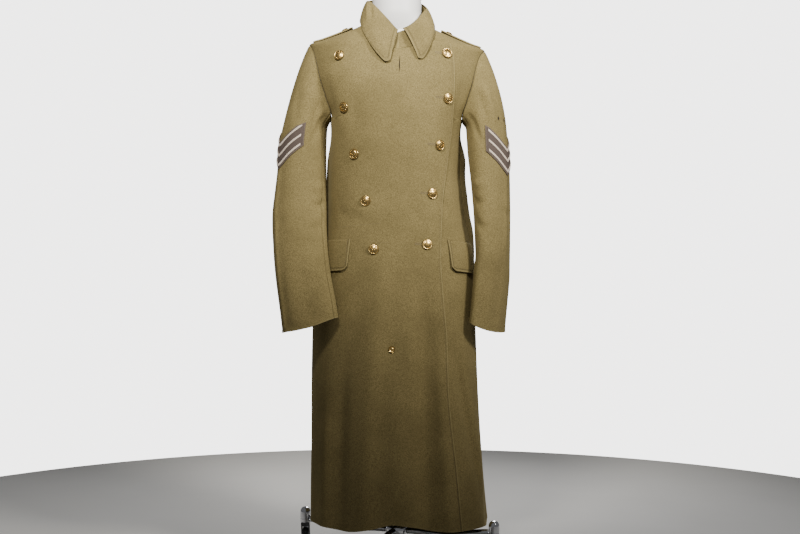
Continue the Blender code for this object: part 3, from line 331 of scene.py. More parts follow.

# Creases placed one by one. points are (across, rise) on the front or the back of
# the body and (degrees round, rise) on a sleeve; near and far are the soft
# widths on the crease's two sides; head and foot are the shares of its length
# over which it dies out. A positive height is a ridge.
Crease = namedtuple("Crease", "points near far height head foot")
FRONT_CREASES = (
    # long soft ridge and the deep fold beside it, from the waist to the hem
    Crease(((-0.030, 0.80), (-0.052, 0.62), (-0.070, 0.36), (-0.082, 0.10)), 0.026, 0.036, 0.0080, 0.30, 0.0),
    Crease(((0.070, 0.80), (0.064, 0.62), (0.070, 0.40), (0.078, 0.10)), 0.030, 0.022, -0.0125, 0.28, 0.0),
    Crease(((0.098, 0.66), (0.104, 0.46), (0.118, 0.26), (0.130, 0.10)), 0.014, 0.012, 0.0035, 0.40, 0.0),
    Crease(((-0.010, 0.54), (0.004, 0.34), (0.012, 0.10)), 0.024, 0.030, 0.0060, 0.45, 0.0),
    Crease(((-0.125, 0.58), (-0.138, 0.38), (-0.142, 0.10)), 0.020, 0.026, -0.0080, 0.40, 0.0),
    Crease(((-0.168, 0.46), (-0.176, 0.28), (-0.178, 0.10)), 0.012, 0.016, 0.0040, 0.40, 0.0),
    Crease(
        ((0.138, 0.60), (0.160, 0.46), (0.188, 0.32), (0.210, 0.23), (0.226, 0.12)),
        0.006, 0.014, -0.0075, 0.30, 0.0
    ),
    # waist: cloth drawn in above the pockets and towards the buttons
    Crease(((-0.112, 0.882), (-0.084, 0.868), (-0.052, 0.874)), 0.007, 0.010, -0.0022, 0.45, 0.45),
    Crease(((-0.106, 0.902), (-0.080, 0.896), (-0.060, 0.902)), 0.006, 0.008, 0.0016, 0.5, 0.5),
    Crease(((-0.150, 0.905), (-0.126, 0.880), (-0.098, 0.872)), 0.010, 0.012, -0.0024, 0.4, 0.5),
    Crease(((-0.100, 0.796), (-0.086, 0.790), (-0.070, 0.797)), 0.007, 0.008, -0.0026, 0.5, 0.5),
    Crease(((0.020, 0.900), (0.048, 0.882), (0.070, 0.866)), 0.010, 0.010, -0.0020, 0.5, 0.5),
    Crease(((0.100, 0.925), (0.122, 0.905), (0.138, 0.872)), 0.008, 0.012, -0.0024, 0.4, 0.5),
    Crease(((-0.060, 0.955), (-0.024, 0.940), (0.016, 0.944)), 0.014, 0.018, -0.0016, 0.5, 0.5),
    # chest: soft drape lines falling from the shoulders and the collar
    Crease(((-0.184, 1.26), (-0.170, 1.20), (-0.152, 1.13), (-0.146, 1.06)), 0.010, 0.018, -0.0036, 0.35, 0.45),
    Crease(((-0.120, 1.22), (-0.104, 1.14), (-0.090, 1.04)), 0.020, 0.026, -0.0028, 0.45, 0.5),
    Crease(((0.176, 1.25), (0.158, 1.18), (0.146, 1.12), (0.142, 1.05)), 0.018, 0.010, -0.0038, 0.35, 0.45),
    Crease(((0.086, 1.24), (0.074, 1.14), (0.060, 1.03)), 0.024, 0.020, -0.0022, 0.45, 0.5),
    Crease(((0.006, 1.22), (0.010, 1.12), (0.004, 1.00)), 0.022, 0.030, 0.0016, 0.4, 0.5),
    Crease(((-0.090, 1.27), (-0.060, 1.235), (-0.034, 1.215)), 0.012, 0.014, -0.0016, 0.5, 0.5),
    Crease(((0.104, 1.20), (0.088, 1.185), (0.060, 1.180)), 0.008, 0.010, -0.0014, 0.5, 0.5),
)
# Fullness of cloth behind each side seam, above the skirt.
Fullness = namedtuple("Fullness", "turn width height")
SIDE_FULLNESS = (Fullness(109.0, 16.0, 0.038), Fullness(-108.0, 14.0, 0.024))
FULLNESS_LOW = 0.70
FULLNESS_HIGH = 1.13
BACK_CREASES = (
    Crease(((-0.150, 1.22), (-0.128, 1.14), (-0.104, 1.04)), 0.016, 0.022, -0.0036, 0.4, 0.5),
    Crease(((0.150, 1.23), (0.132, 1.14), (0.112, 1.05)), 0.022, 0.014, -0.0034, 0.4, 0.5),
    Crease(((-0.070, 1.30), (-0.058, 1.20), (-0.050, 1.08)), 0.024, 0.030, 0.0022, 0.4, 0.5),
    Crease(((0.066, 1.29), (0.058, 1.18), (0.046, 1.06)), 0.030, 0.022, 0.0020, 0.4, 0.5),
    Crease(((-0.120, 0.93), (-0.074, 0.914), (-0.030, 0.922)), 0.009, 0.013, -0.0026, 0.45, 0.45),
    Crease(((0.128, 0.91), (0.086, 0.896), (0.040, 0.906)), 0.009, 0.012, -0.0025, 0.45, 0.45),
    Crease(((-0.040, 0.88), (-0.054, 0.62), (-0.066, 0.36), (-0.078, 0.10)), 0.030, 0.022, 0.0060, 0.25, 0.0),
    Crease(((0.036, 0.88), (0.050, 0.60), (0.066, 0.34), (0.082, 0.10)), 0.020, 0.030, 0.0056, 0.28, 0.0),
    Crease(((0.006, 0.76), (-0.006, 0.50), (-0.010, 0.10)), 0.020, 0.022, -0.0058, 0.35, 0.0),
    Crease(((-0.120, 0.72), (-0.136, 0.46), (-0.150, 0.10)), 0.018, 0.026, -0.0058, 0.35, 0.0),
    Crease(((0.118, 0.70), (0.134, 0.44), (0.152, 0.10)), 0.026, 0.016, -0.0052, 0.35, 0.0),
    Crease(((-0.172, 0.60), (-0.184, 0.36), (-0.190, 0.10)), 0.012, 0.016, 0.0036, 0.4, 0.0),
    Crease(((0.168, 0.62), (0.184, 0.36), (0.196, 0.10)), 0.014, 0.012, 0.0038, 0.4, 0.0),
)
SLEEVE_CREASES = {
    -1: (
        # pressed line down the outer front, below the chevrons
        Crease(((146.0, 1.02), (146.0, 0.88), (148.0, 0.74), (150.0, 0.61)), 0.0050, 0.0060, 0.0024, 0.10, 0.0),
        Crease(((132.0, 1.22), (120.0, 1.16), (108.0, 1.10)), 0.012, 0.016, -0.0030, 0.4, 0.45),
        Crease(((72.0, 1.20), (64.0, 1.13), (60.0, 1.06)), 0.010, 0.014, -0.0040, 0.35, 0.45),
        Crease(((38.0, 1.15), (52.0, 1.09), (72.0, 1.05)), 0.008, 0.012, -0.0036, 0.3, 0.5),
        Crease(((10.0, 0.925), (40.0, 0.905), (74.0, 0.915)), 0.008, 0.012, -0.0048, 0.35, 0.5),
        Crease(((14.0, 0.965), (46.0, 0.950), (84.0, 0.964)), 0.008, 0.011, 0.0034, 0.4, 0.5),
        Crease(((20.0, 0.870), (54.0, 0.846), (92.0, 0.850)), 0.010, 0.013, -0.0042, 0.35, 0.5),
        Crease(((110.0, 0.89), (134.0, 0.862), (160.0, 0.858)), 0.010, 0.012, -0.0026, 0.5, 0.5),
        Crease(((250.0, 0.95), (222.0, 0.91), (204.0, 0.90)), 0.014, 0.010, 0.0036, 0.4, 0.5),
        Crease(((320.0, 0.94), (286.0, 0.905), (256.0, 0.892)), 0.011, 0.015, -0.0042, 0.4, 0.5),
        Crease(((96.0, 0.80), (90.0, 0.71), (84.0, 0.62)), 0.018, 0.024, -0.0030, 0.4, 0.1),
        Crease(((122.0, 0.76), (126.0, 0.68), (124.0, 0.61)), 0.014, 0.018, 0.0018, 0.4, 0.1),
        Crease(((238.0, 1.14), (232.0, 1.05), (236.0, 0.98)), 0.014, 0.018, -0.0034, 0.4, 0.5),
    ),
    1: (
        Crease(((118.0, 1.23), (112.0, 1.16), (118.0, 1.09)), 0.010, 0.013, 0.0036, 0.35, 0.5),
        Crease(((96.0, 1.24), (90.0, 1.16), (86.0, 1.08)), 0.012, 0.014, -0.0040, 0.35, 0.45),
        Crease(((44.0, 1.15), (62.0, 1.09), (88.0, 1.05)), 0.008, 0.012, -0.0038, 0.3, 0.5),
        Crease(((18.0, 0.935), (50.0, 0.912), (88.0, 0.925)), 0.009, 0.012, -0.0046, 0.35, 0.5),
        Crease(((20.0, 0.975), (58.0, 0.958), (100.0, 0.972)), 0.009, 0.012, 0.0030, 0.4, 0.5),
        Crease(((26.0, 0.880), (62.0, 0.852), (104.0, 0.860)), 0.010, 0.013, -0.0040, 0.35, 0.5),
        Crease(((120.0, 0.91), (150.0, 0.884), (182.0, 0.890)), 0.012, 0.014, -0.0026, 0.5, 0.5),
        Crease(((300.0, 0.93), (266.0, 0.90), (232.0, 0.905)), 0.012, 0.015, -0.0040, 0.4, 0.5),
        Crease(((88.0, 0.82), (80.0, 0.72), (78.0, 0.61)), 0.020, 0.024, -0.0032, 0.4, 0.1),
        Crease(((132.0, 0.80), (138.0, 0.70), (136.0, 0.61)), 0.018, 0.022, -0.0022, 0.4, 0.1),
        Crease(((146.0, 1.00), (148.0, 0.86), (152.0, 0.72)), 0.0060, 0.0080, 0.0012, 0.2, 0.4),
        Crease(((236.0, 1.15), (230.0, 1.06), (234.0, 0.98)), 0.014, 0.018, -0.0034, 0.4, 0.5),
    ),
}


def ease(value):
    value = np.clip(value, 0.0, 1.0)
    return value * value * (3.0 - 2.0 * value)


def mix(a, b, part):
    return a + (b - a) * part


def unit(vectors):
    return vectors / np.maximum(np.linalg.norm(vectors, axis=-1, keepdims=True), 1e-12)


def column(table, key, name, at):
    """One column of a table, read smoothly at values of its key column."""
    rows = sorted(table, key=lambda row: getattr(row, key))
    keys = np.array([getattr(row, key) for row in rows])
    values = np.array([getattr(row, name) for row in rows])
    at = np.clip(np.asarray(at, float), keys[0], keys[-1])
    step = np.diff(values) / np.diff(keys)
    slope = np.zeros(len(keys))
    slope[0], slope[-1] = step[0], step[-1]
    before, after = step[:-1], step[1:]
    same = before * after > 0.0
    slope[1:-1] = np.where(same, 2.0 * before * after / np.where(same, before + after, 1.0), 0.0)
    i = np.clip(np.searchsorted(keys, at, side="left") - 1, 0, len(keys) - 2)
    width = keys[i + 1] - keys[i]
    t = (at - keys[i]) / width
    return (
        values[i] * (1 + 2 * t) * (1 - t) ** 2
        + slope[i] * width * t * (1 - t) ** 2
        + values[i + 1] * t * t * (3 - 2 * t)
        + slope[i + 1] * width * t * t * (t - 1)
    )


def hermite(start, leave, end, arrive, t):
    return (
        start * (1 + 2 * t) * (1 - t) ** 2
        + leave * t * (1 - t) ** 2
        + end * t * t * (3 - 2 * t)
        + arrive * t * t * (t - 1)
    )


def crease_height(creases, u, v):
    """Height of a table's creases at places (u, v), all in metres."""
    total = np.zeros(np.broadcast(u, v).shape)
    for crease in creases:
        points = np.array(crease.points)
        for _ in range(2):
            ahead, behind = mix(points[:-1], points[1:], 0.75), mix(points[:-1], points[1:], 0.25)
            inner = np.stack([behind, ahead], 1).reshape(-1, 2)[1:-1]
            points = np.concatenate([points[:1], inner, points[-1:]])
        lengths = np.linalg.norm(np.diff(points, axis=0), axis=1)
        whole = lengths.sum()
        best = np.full(total.shape, 1e9)
        side = np.zeros(total.shape)
        along = np.zeros(total.shape)
        passed = 0.0
        for a, b, length in zip(points[:-1], points[1:], lengths):
            heading = (b - a) / length
            du, dv = u - a[0], v - a[1]
            run = np.clip(du * heading[0] + dv * heading[1], 0.0, length)
            du, dv = du - heading[0] * run, dv - heading[1] * run
            away = np.hypot(du, dv)
            nearer = away < best
            best = np.where(nearer, away, best)
            side = np.where(nearer, heading[0] * dv - heading[1] * du, side)
            along = np.where(nearer, (passed + run) / whole, along)
            passed += length
        lean = side / np.maximum(best, 1e-9)
        width = mix(crease.far, crease.near, (1.0 + lean) / 2)
        fade = np.ones(total.shape)
        if crease.head > 0:
            fade = fade * ease(along / crease.head)
        if crease.foot > 0:
            fade = fade * ease((1.0 - along) / crease.foot)
        total += crease.height * fade * np.exp(-((best / width) ** 2))
    return total


# Materials


def effect(name, inputs, outputs):
    """An empty shader group with float inputs and the named outputs."""
    group = bpy.data.node_groups.new(name, "ShaderNodeTree")
    for label, value in inputs:
        socket = group.interface.new_socket(label, in_out="INPUT", socket_type="NodeSocketFloat")
        socket.default_value = value
    for label in outputs:
        group.interface.new_socket(label, in_out="OUTPUT", socket_type="NodeSocketFloat")
    return group, group.nodes.new("NodeGroupInput"), group.nodes.new("NodeGroupOutput")


def node(tree, kind, links=None, **values):
    made = tree.nodes.new(kind)
    for key, value in values.items():
        setattr(made, key, value)
    for socket, source in (links or {}).items():
        target = made.inputs[socket]
        if hasattr(source, "is_output"):
            tree.links.new(source, target)
        else:
            target.default_value = source
    return made


def math_node(tree, operation, a, b=0.0, clamp=False):
    return node(tree, "ShaderNodeMath", {0: a, 1: b}, operation=operation, use_clamp=clamp).outputs[0]


def noise(tree, scale, detail, where, roughness=0.5):
    return node(
        tree, "ShaderNodeTexNoise",
        {"Vector": where, "Scale": scale, "Detail": detail, "Roughness": roughness}
    ).outputs["Fac"]


def wool_effect():
    """Felted wool: matted fibres, fine flecks of lighter and darker wool."""
    group, given, result = effect(
        "felted_wool", (("Fibre", 1.0), ("Fleck", 1.0)), ("Height", "Fleck", "Cloud")
    )
    where = group.nodes.new("ShaderNodeTexCoord").outputs["Object"]
    drawn = node(group, "ShaderNodeMapping", {"Vector": where, "Scale": (1.0, 1.0, 0.28)}).outputs[0]
    matted = noise(group, 620.0, 3.0, drawn, 0.62)
    slanted = node(
        group, "ShaderNodeMapping", {"Vector": where, "Rotation": (0.3, 0.5, 0.8), "Scale": (1.0, 0.22, 1.0)}
    ).outputs[0]
    hairs = noise(group, 1150.0, 2.0, slanted, 0.55)
    matted, hairs = math_node(group, "MULTIPLY", matted, 0.65), math_node(group, "MULTIPLY", hairs, 0.35)
    height = math_node(group, "ADD", matted, hairs)
    group.links.new(math_node(group, "MULTIPLY", height, given.outputs["Fibre"]), result.inputs["Height"])
    spots = noise(group, 430.0, 5.0, where, 0.85)
    spread = math_node(group, "MULTIPLY", math_node(group, "SUBTRACT", spots, 0.5), given.outputs["Fleck"])
    group.links.new(math_node(group, "ADD", spread, 0.5, True), result.inputs["Fleck"])
    group.links.new(noise(group, 9.0, 4.0, where, 0.55), result.inputs["Cloud"])
    return group


def wear_and_painted_light_effect():
    """A broken mask that is strongest at an edge: rubbed wear and a painted highlight at turned edges, and painted
    shade along seams.
    """
    group, given, result = effect(
        "rubbed_edge", (("Distance", 1.0), ("Width", 0.004), ("Break", 60.0)), ("Mask",)
    )
    where = group.nodes.new("ShaderNodeTexCoord").outputs["Object"]
    near = math_node(group, "DIVIDE", given.outputs["Distance"], given.outputs["Width"])
    near = math_node(group, "SUBTRACT", 1.0, near, True)
    broken = noise(group, 1.0, 3.0, where, 0.6)
    group.links.new(given.outputs["Break"], broken.node.inputs["Scale"])
    group.links.new(math_node(group, "MULTIPLY", near, broken), result.inputs["Mask"])
    return group


def groove_effect():
    """The dip that a row of stitches or a seam pulls into cloth."""
    group, given, result = effect("stitch_dip", (("Distance", 1.0), ("Width", 0.0012)), ("Dip",))
    away = math_node(group, "DIVIDE", given.outputs["Distance"], given.outputs["Width"])
    group.links.new(math_node(group, "SUBTRACT", 1.0, away, True), result.inputs["Dip"])
    return group


EFFECTS = {"wool": wool_effect(), "wear_and_painted_light": wear_and_painted_light_effect(), "dip": groove_effect()}


def use(tree, name, **values):
    made = tree.nodes.new("ShaderNodeGroup")
    made.node_tree = EFFECTS[name]
    for label, value in values.items():
        if hasattr(value, "is_output"):
            tree.links.new(value, made.inputs[label])
        else:
            made.inputs[label].default_value = value
    return made


def blend_colour(tree, factor, a, b):
    made = node(tree, "ShaderNodeMix", data_type="RGBA")
    for index, value in ((0, factor), (6, a), (7, b)):
        if hasattr(value, "is_output"):
            tree.links.new(value, made.inputs[index])
        else:
            made.inputs[index].default_value = value if index == 0 else (*value, 1.0)
    return made.outputs[2]


def new_finish(name, roughness=0.5, metallic=0.0, **constants):
    finish = bpy.data.materials.new(name)
    finish.use_nodes = True
    tree = finish.node_tree
    shader = tree.nodes["Principled BSDF"]
    shader.inputs["Roughness"].default_value = roughness
    shader.inputs["Metallic"].default_value = metallic
    for label, value in constants.items():
        shader.inputs[label.replace("_", " ")].default_value = value
    return finish, tree, shader


def bump(tree, shader, height, strength, distance, under=None):
    made = node(tree, "ShaderNodeBump", {"Height": height, "Strength": strength, "Distance": distance})
    if under is not None:
        tree.links.new(under, made.inputs["Normal"])
    tree.links.new(made.outputs[0], shader.inputs["Normal"])
    return made.outputs[0]


def wool_cloth(name, dark, light, worn, fibre=1.0, sheen=0.25, fleck=4.2, tears=()):
    finish, tree, shader = new_finish(
        name, 0.92, Sheen_Weight=sheen, Sheen_Roughness=0.45, Specular_IOR_Level=0.18
    )
    shader.inputs["Sheen Tint"].default_value = (*worn, 1.0)
    wool = use(tree, "wool", Fibre=fibre, Fleck=fleck)
    edge = node(tree, "ShaderNodeAttribute", attribute_name="edge").outputs["Fac"]
    seam = node(tree, "ShaderNodeAttribute", attribute_name="seam").outputs["Fac"]
    colour = blend_colour(tree, wool.outputs["Fleck"], dark, light)
    cloud = math_node(tree, "SUBTRACT", wool.outputs["Cloud"], 0.42, True)
    cloud = math_node(tree, "MULTIPLY", cloud, 1.3, True)
    colour = blend_colour(tree, cloud, colour, tuple(0.82 * c for c in dark))
    # Turned edges lighten towards the worn colour: rubbed wear, and a painted highlight where the rolled edge
    # catches the light.
    wear_and_painted_light = use(tree, "wear_and_painted_light", Distance=edge, Width=0.0045, Break=70.0)
    colour = blend_colour(tree, math_node(tree, "MULTIPLY", wear_and_painted_light.outputs["Mask"], 0.60), colour, worn)
    # Painted shade: the cloth darkens along its seams, where the seam's groove lies in shade.
    painted_seam_shade = use(tree, "wear_and_painted_light", Distance=seam, Width=0.0016, Break=20.0)
    colour = blend_colour(tree, painted_seam_shade.outputs["Mask"], colour, tuple(0.7 * c for c in dark))
    stitch = node(tree, "ShaderNodeAttribute", attribute_name="stitch").outputs["Fac"]
    dip = use(tree, "dip", Distance=stitch, Width=0.0024)
    shade = math_node(tree, "MULTIPLY", dip.outputs["Dip"], 0.75)
    colour = blend_colour(tree, shade, colour, tuple(0.55 * c for c in dark))
    # Painted shade: each tear and the dart's slit is painted near black, as its opening lies in shade.
    for tear in tears:
        where = tree.nodes.new("ShaderNodeTexCoord").outputs["Object"]
        drawn = node(tree, "ShaderNodeVectorMath", {0: where, 1: tear.squeeze}, operation="MULTIPLY")
        middle = tuple(a * b for a, b in zip(tear.place, tear.squeeze))
        away = node(tree, "ShaderNodeVectorMath", {0: drawn.outputs[0], 1: middle}, operation="DISTANCE")
        painted_slit_shade = use(tree, "dip", Distance=away.outputs["Value"], Width=0.0034)
        painted_slit_shade = math_node(tree, "MULTIPLY", painted_slit_shade.outputs["Dip"], 1.6, True)
        colour = blend_colour(tree, painted_slit_shade, colour, (0.012, 0.009, 0.008))
    tree.links.new(colour, shader.inputs["Base Color"])
    rough = math_node(tree, "ADD", math_node(tree, "MULTIPLY", wool.outputs["Fleck"], 0.08), 0.86)
    tree.links.new(rough, shader.inputs["Roughness"])
    seam_dip = use(tree, "dip", Distance=seam, Width=0.0018)
    dips = math_node(tree, "MULTIPLY", dip.outputs["Dip"], 1.8)
    dips = math_node(tree, "ADD", dips, seam_dip.outputs["Dip"])
    low = math_node(tree, "SUBTRACT", 1.0, dips)
    shaped = node(tree, "ShaderNodeBump", {"Height": low, "Strength": 0.7, "Distance": 0.0007}).outputs[0]
    bump(tree, shader, wool.outputs["Height"], 0.55, 0.0006, shaped)
    return finish


def twill_lining(name, dark, light):
    finish, tree, shader = new_finish(name, 0.62, Sheen_Weight=0.1, Specular_IOR_Level=0.3)
    where = tree.nodes.new("ShaderNodeTexCoord").outputs["Object"]
    slant = node(tree, "ShaderNodeMapping", {"Vector": where, "Rotation": (0.0, 0.8, 0.3)}).outputs[0]
    ribs = node(
        tree, "ShaderNodeTexWave", {"Vector": slant, "Scale": 260.0, "Distortion": 0.6, "Detail": 1.0}
    )
    tree.links.new(blend_colour(tree, ribs.outputs["Fac"], dark, light), shader.inputs["Base Color"])
    bump(tree, shader, ribs.outputs["Fac"], 0.3, 0.0003)
    return finish


def braid_finish():
    finish, tree, shader = new_finish("worsted_braid", 0.8, Sheen_Weight=0.2, Specular_IOR_Level=0.25)
    across = node(tree, "ShaderNodeAttribute", attribute_name="across").outputs["Fac"]
    down = node(tree, "ShaderNodeAttribute", attribute_name="down").outputs["Fac"]
    across, down = math_node(tree, "MULTIPLY", across, 3600.0), math_node(tree, "MULTIPLY", down, 2600.0)
    wave = math_node(tree, "SINE", math_node(tree, "ADD", across, down))
    cords = math_node(tree, "ADD", math_node(tree, "MULTIPLY", wave, 0.5), 0.5)
    wool = use(tree, "wool", Fibre=0.6, Fleck=1.4)
    colour = blend_colour(tree, cords, (0.50, 0.40, 0.31), (0.84, 0.73, 0.61))
    colour = blend_colour(tree, wool.outputs["Fleck"], colour, (0.68, 0.57, 0.46))
    tree.links.new(colour, shader.inputs["Base Color"])
    fibres = math_node(tree, "MULTIPLY", wool.outputs["Height"], 0.5)
    bump(tree, shader, math_node(tree, "ADD", cords, fibres), 0.6, 0.0005)
    return finish


def brass_finish():
    finish, tree, shader = new_finish("brass", 0.3, 1.0)
    where = tree.nodes.new("ShaderNodeTexCoord").outputs["Object"]
    rubbed = noise(tree, 240.0, 4.0, where, 0.6)
    worn = math_node(tree, "MULTIPLY", math_node(tree, "SUBTRACT", rubbed, 0.45, True), 3.0, True)
    colour = blend_colour(tree, worn, (0.66, 0.46, 0.17), (0.40, 0.265, 0.085))
    tree.links.new(colour, shader.inputs["Base Color"])
    rough = math_node(tree, "ADD", math_node(tree, "MULTIPLY", worn, 0.22), 0.26)
    tree.links.new(rough, shader.inputs["Roughness"])
    bump(tree, shader, rubbed, 0.12, 0.0002)
    return finish


def hard_finish(name, dark, light, low, high, metallic, grain, coat=0.0):
    finish, tree, shader = new_finish(name, low, metallic, Coat_Weight=coat)
    where = tree.nodes.new("ShaderNodeTexCoord").outputs["Object"]
    mottled = noise(tree, grain, 5.0, where, 0.6)
    tree.links.new(blend_colour(tree, mottled, dark, light), shader.inputs["Base Color"])
    spread = math_node(tree, "MULTIPLY", mottled, high - low)
    tree.links.new(math_node(tree, "ADD", spread, low), shader.inputs["Roughness"])
    bump(tree, shader, mottled, 0.08, 0.0002)
    return finish


melton = wool_cloth(
    "khaki_melton", (0.112, 0.086, 0.031), (0.285, 0.223, 0.094), (0.38, 0.31, 0.15), tears=TEARS
)
patch_felt = wool_cloth(
    "patch_felt", (0.058, 0.043, 0.036), (0.125, 0.097, 0.082), (0.22, 0.175, 0.145), 1.2, 0.35, 2.0
)
lining_twill = twill_lining("body_lining", (0.055, 0.045, 0.022), (0.105, 0.085, 0.045))
braid = braid_finish()
brass = brass_finish()
thread = twill_lining("thread", (0.16, 0.12, 0.055), (0.30, 0.235, 0.125))
form_shell = hard_finish("form_shell", (0.95, 0.94, 0.925), (0.98, 0.97, 0.96), 0.38, 0.52, 0.0, 14.0)
chrome = hard_finish("chrome", (0.60, 0.60, 0.62), (0.72, 0.72, 0.74), 0.07, 0.16, 1.0, 60.0)
dark_steel = hard_finish("dark_steel", (0.055, 0.055, 0.058), (0.13, 0.13, 0.135), 0.28, 0.46, 1.0, 90.0)
wheel_rubber = hard_finish(
    "wheel_rubber", (0.018, 0.018, 0.020), (0.040, 0.040, 0.042), 0.50, 0.72, 0.0, 130.0
)

# Filled by make_up: each cloth piece, its outer grid, and that grid with how the piece is held and what it rests
# on
pieces, grids, cuts = {}, {}, {}


# The body of the coat


def ring(rise, name):
    return column(BODY, "rise", name, rise)


def fold_height(turn, rise):
    total = np.zeros(np.broadcast(turn, rise).shape)
    for fold in FOLDS:
        part = ease((fold.top_rise - rise) / (fold.top_rise - 0.16))
        middle = np.radians(mix(fold.top_turn, fold.hem_turn, part))
        away = (turn - middle + math.pi) % (2 * math.pi) - math.pi
        total += fold.height * part * np.exp(-((away / math.radians(fold.width)) ** 2))
    return total


def body(turn, rise):
    """The cloth's plain outer face. turn is the angle from the front towards +X."""
    turn, rise = np.broadcast_arrays(np.asarray(turn, float), np.asarray(rise, float))
    sine, cosine = np.sin(turn), np.cos(turn)
    side = np.where(sine > 0, ring(rise, "right"), ring(rise, "left"))
    depth = np.where(cosine > 0, ring(rise, "front"), ring(rise, "back"))
    power = ring(rise, "power")
    reach = np.abs(sine / side) ** power + np.abs(cosine / depth) ** power
    radius = reach ** (-1.0 / power) + fold_height(turn, rise)
    across = radius * sine
    lean = SHOULDER_LEAN * across * ease((rise - LEAN_START) / (LEAN_FULL - LEAN_START))
    return np.stack([across, -radius * cosine, rise + lean], axis=-1)


def body_normal(turn, rise):
    along_turn = body(turn + 0.02, rise) - body(turn - 0.02, rise)
    along_rise = body(turn, rise + 0.002) - body(turn, rise - 0.002)
    return unit(np.cross(along_turn, along_rise))


def relief(turn, rise, place):
    """Creases of the body's cloth and the pull of each button's shank."""
    front = crease_height(FRONT_CREASES, place[..., 0], place[..., 2])
    back = crease_height(BACK_CREASES, place[..., 0], place[..., 2])
    facing = ease((np.cos(turn) + 0.18) / 0.36)
    height = mix(back, front, facing)
    for spot in (*BUTTONS, SKIRT_BUTTON):
        away = np.hypot(place[..., 0] - spot.across, place[..., 2] - spot.rise)
        height = height - facing * SHANK_PULL * np.exp(-((away / SHANK_WIDTH) ** 2))
    calm = 1.0 - ease((rise - 1.24) / 0.07)
    window = ease((FULLNESS_HIGH - rise) / 0.11) * ease((rise - FULLNESS_LOW) / 0.16)
    for fullness in SIDE_FULLNESS:
        away = (turn - math.radians(fullness.turn) + math.pi) % (2 * math.pi) - math.pi
        bulge = np.exp(-((away / math.radians(fullness.width)) ** 2))
        height = height + fullness.height * window * bulge
    return height * calm


def cloth(turn, rise, out=0.0):
    place = body(turn, rise)
    lift = np.asarray(out) + relief(turn, rise, place)
    return place + body_normal(turn, rise) * lift[..., None]


def turn_at(across, rise, front=True):
    """Turn of the body's point that lies across from the neck's centre."""
    across, rise = np.asarray(across, float), np.asarray(rise, float)
    side = np.where(across > 0, ring(rise, "right"), ring(rise, "left"))
    depth = ring(rise, "front") if front else ring(rise, "back")
    part = np.clip(np.abs(across) / side, 0.0, 1.0)
    power = ring(rise, "power")
    turn = np.arctan2(np.abs(across), depth * (1.0 - part**power) ** (1.0 / power))
    return np.copysign(turn if front else math.pi - turn, across)


def neckline(turn):
    """(turn, rise) of the neckline at angles round the neck."""
    turn = (np.asarray(turn, float) + math.pi) % (2 * math.pi) - math.pi
    across = NECK_HALF * np.sin(turn)
    front = np.cos(turn) > 0
    rise = NECK_SIDE_RISE - np.where(front, NECK_FRONT_DROP, NECK_BACK_RISE) * np.cos(turn)
    return np.where(front, turn_at(across, rise), turn_at(across, rise, False)), rise


def armhole(side, step, front):
    """(turn, rise) of the arm opening, from the armpit at step 0 to the tip."""
    angle = math.pi * np.asarray(step, float) / ARMHOLE_STEPS
    rise = ARMPIT_RISE + (SHOULDER_TIP_RISE - ARMPIT_RISE) / 2 * (1.0 - np.cos(angle))
    widest = ring(rise, "right" if side > 0 else "left")
    bite = np.where(front, ARMHOLE_FRONT_BITE, ARMHOLE_BACK_BITE) * np.sin(angle)
    across = side * widest * (1.0 - np.maximum(bite, 1e-9))
    turn = np.where(front, turn_at(across, rise), turn_at(across, rise, False))
    return turn, rise


def shoulder_seam(side, part):
    across = mix(NECK_HALF, ring(SHOULDER_TIP_RISE, "left"), np.asarray(part, float))
    low = np.full(across.shape, NECK_SIDE_RISE)
    high = np.full(across.shape, SHOULDER_TIP_RISE)
    for _ in range(40):
        middle = (low + high) / 2
        short = ring(middle, "left") < across
        low, high = np.where(short, middle, low), np.where(short, high, middle)
    return np.full(across.shape, side * math.pi / 2), (low + high) / 2


def hem_rise(turn):
    return column(HEM, "turn", "rise", np.degrees((turn + math.pi) % (2 * math.pi) - math.pi))


def top_layer(turn):
    """The top front lies a layer off the body and meets its own side seam."""
    return LAYER * (1.0 - ease((-turn - OVERLAP_START) / OVERLAP_FADE))


def under_layer(turn, rise):
    sink = UNDER_SINK * (1.0 + 1.3 * ease((rise - 1.19) / 0.07))
    return -sink * ease((-turn - math.radians(8.0)) / 0.30)


# Cloth shells


def steps(count, fine):
    """Places along a count of spans, closer together near both ends."""
    inner = np.arange(1, count * fine) / fine
    ends = np.array([0.0, 0.035, 0.08, 0.14])
    inner = inner[(inner > 0.16) & (inner < count - 0.16)]
    return np.concatenate([ends, inner, count - ends[::-1]])


def run_length(grid, axis):
    """Distance along rows or columns from a grid's first edge."""
    step = np.linalg.norm(np.diff(grid, axis=axis), axis=-1)
    start = np.zeros_like(np.take(step, [0], axis=axis))
    return np.cumsum(np.concatenate([start, step], axis=axis), axis=axis)


def grid_normals(grid):
    spans = []
    for axis in (1, 0):
        ends = np.pad(grid, [(1, 1) if axis == k else (0, 0) for k in range(3)], mode="edge")
        count = grid.shape[axis]
        spans.append(np.take(ends, range(2, count + 2), axis) - np.take(ends, range(count), axis))
    return unit(np.cross(*spans))


def pull_in(grid, name, amount):
    """A grid with one edge drawn in, easing out over a short reach."""
    axis, way = SIDES[name]
    line = grid if way > 0 else np.flip(grid, axis)
    ahead = np.diff(line, axis=axis)
    ahead = np.concatenate([ahead, np.take(ahead, [-1], axis=axis)], axis=axis)
    share = np.clip(1.0 - run_length(line, axis) / (4.0 * abs(amount)), 0.0, 1.0)
    line = line + unit(ahead) * (amount * share)[..., None]
    return line if way > 0 else np.flip(line, axis)


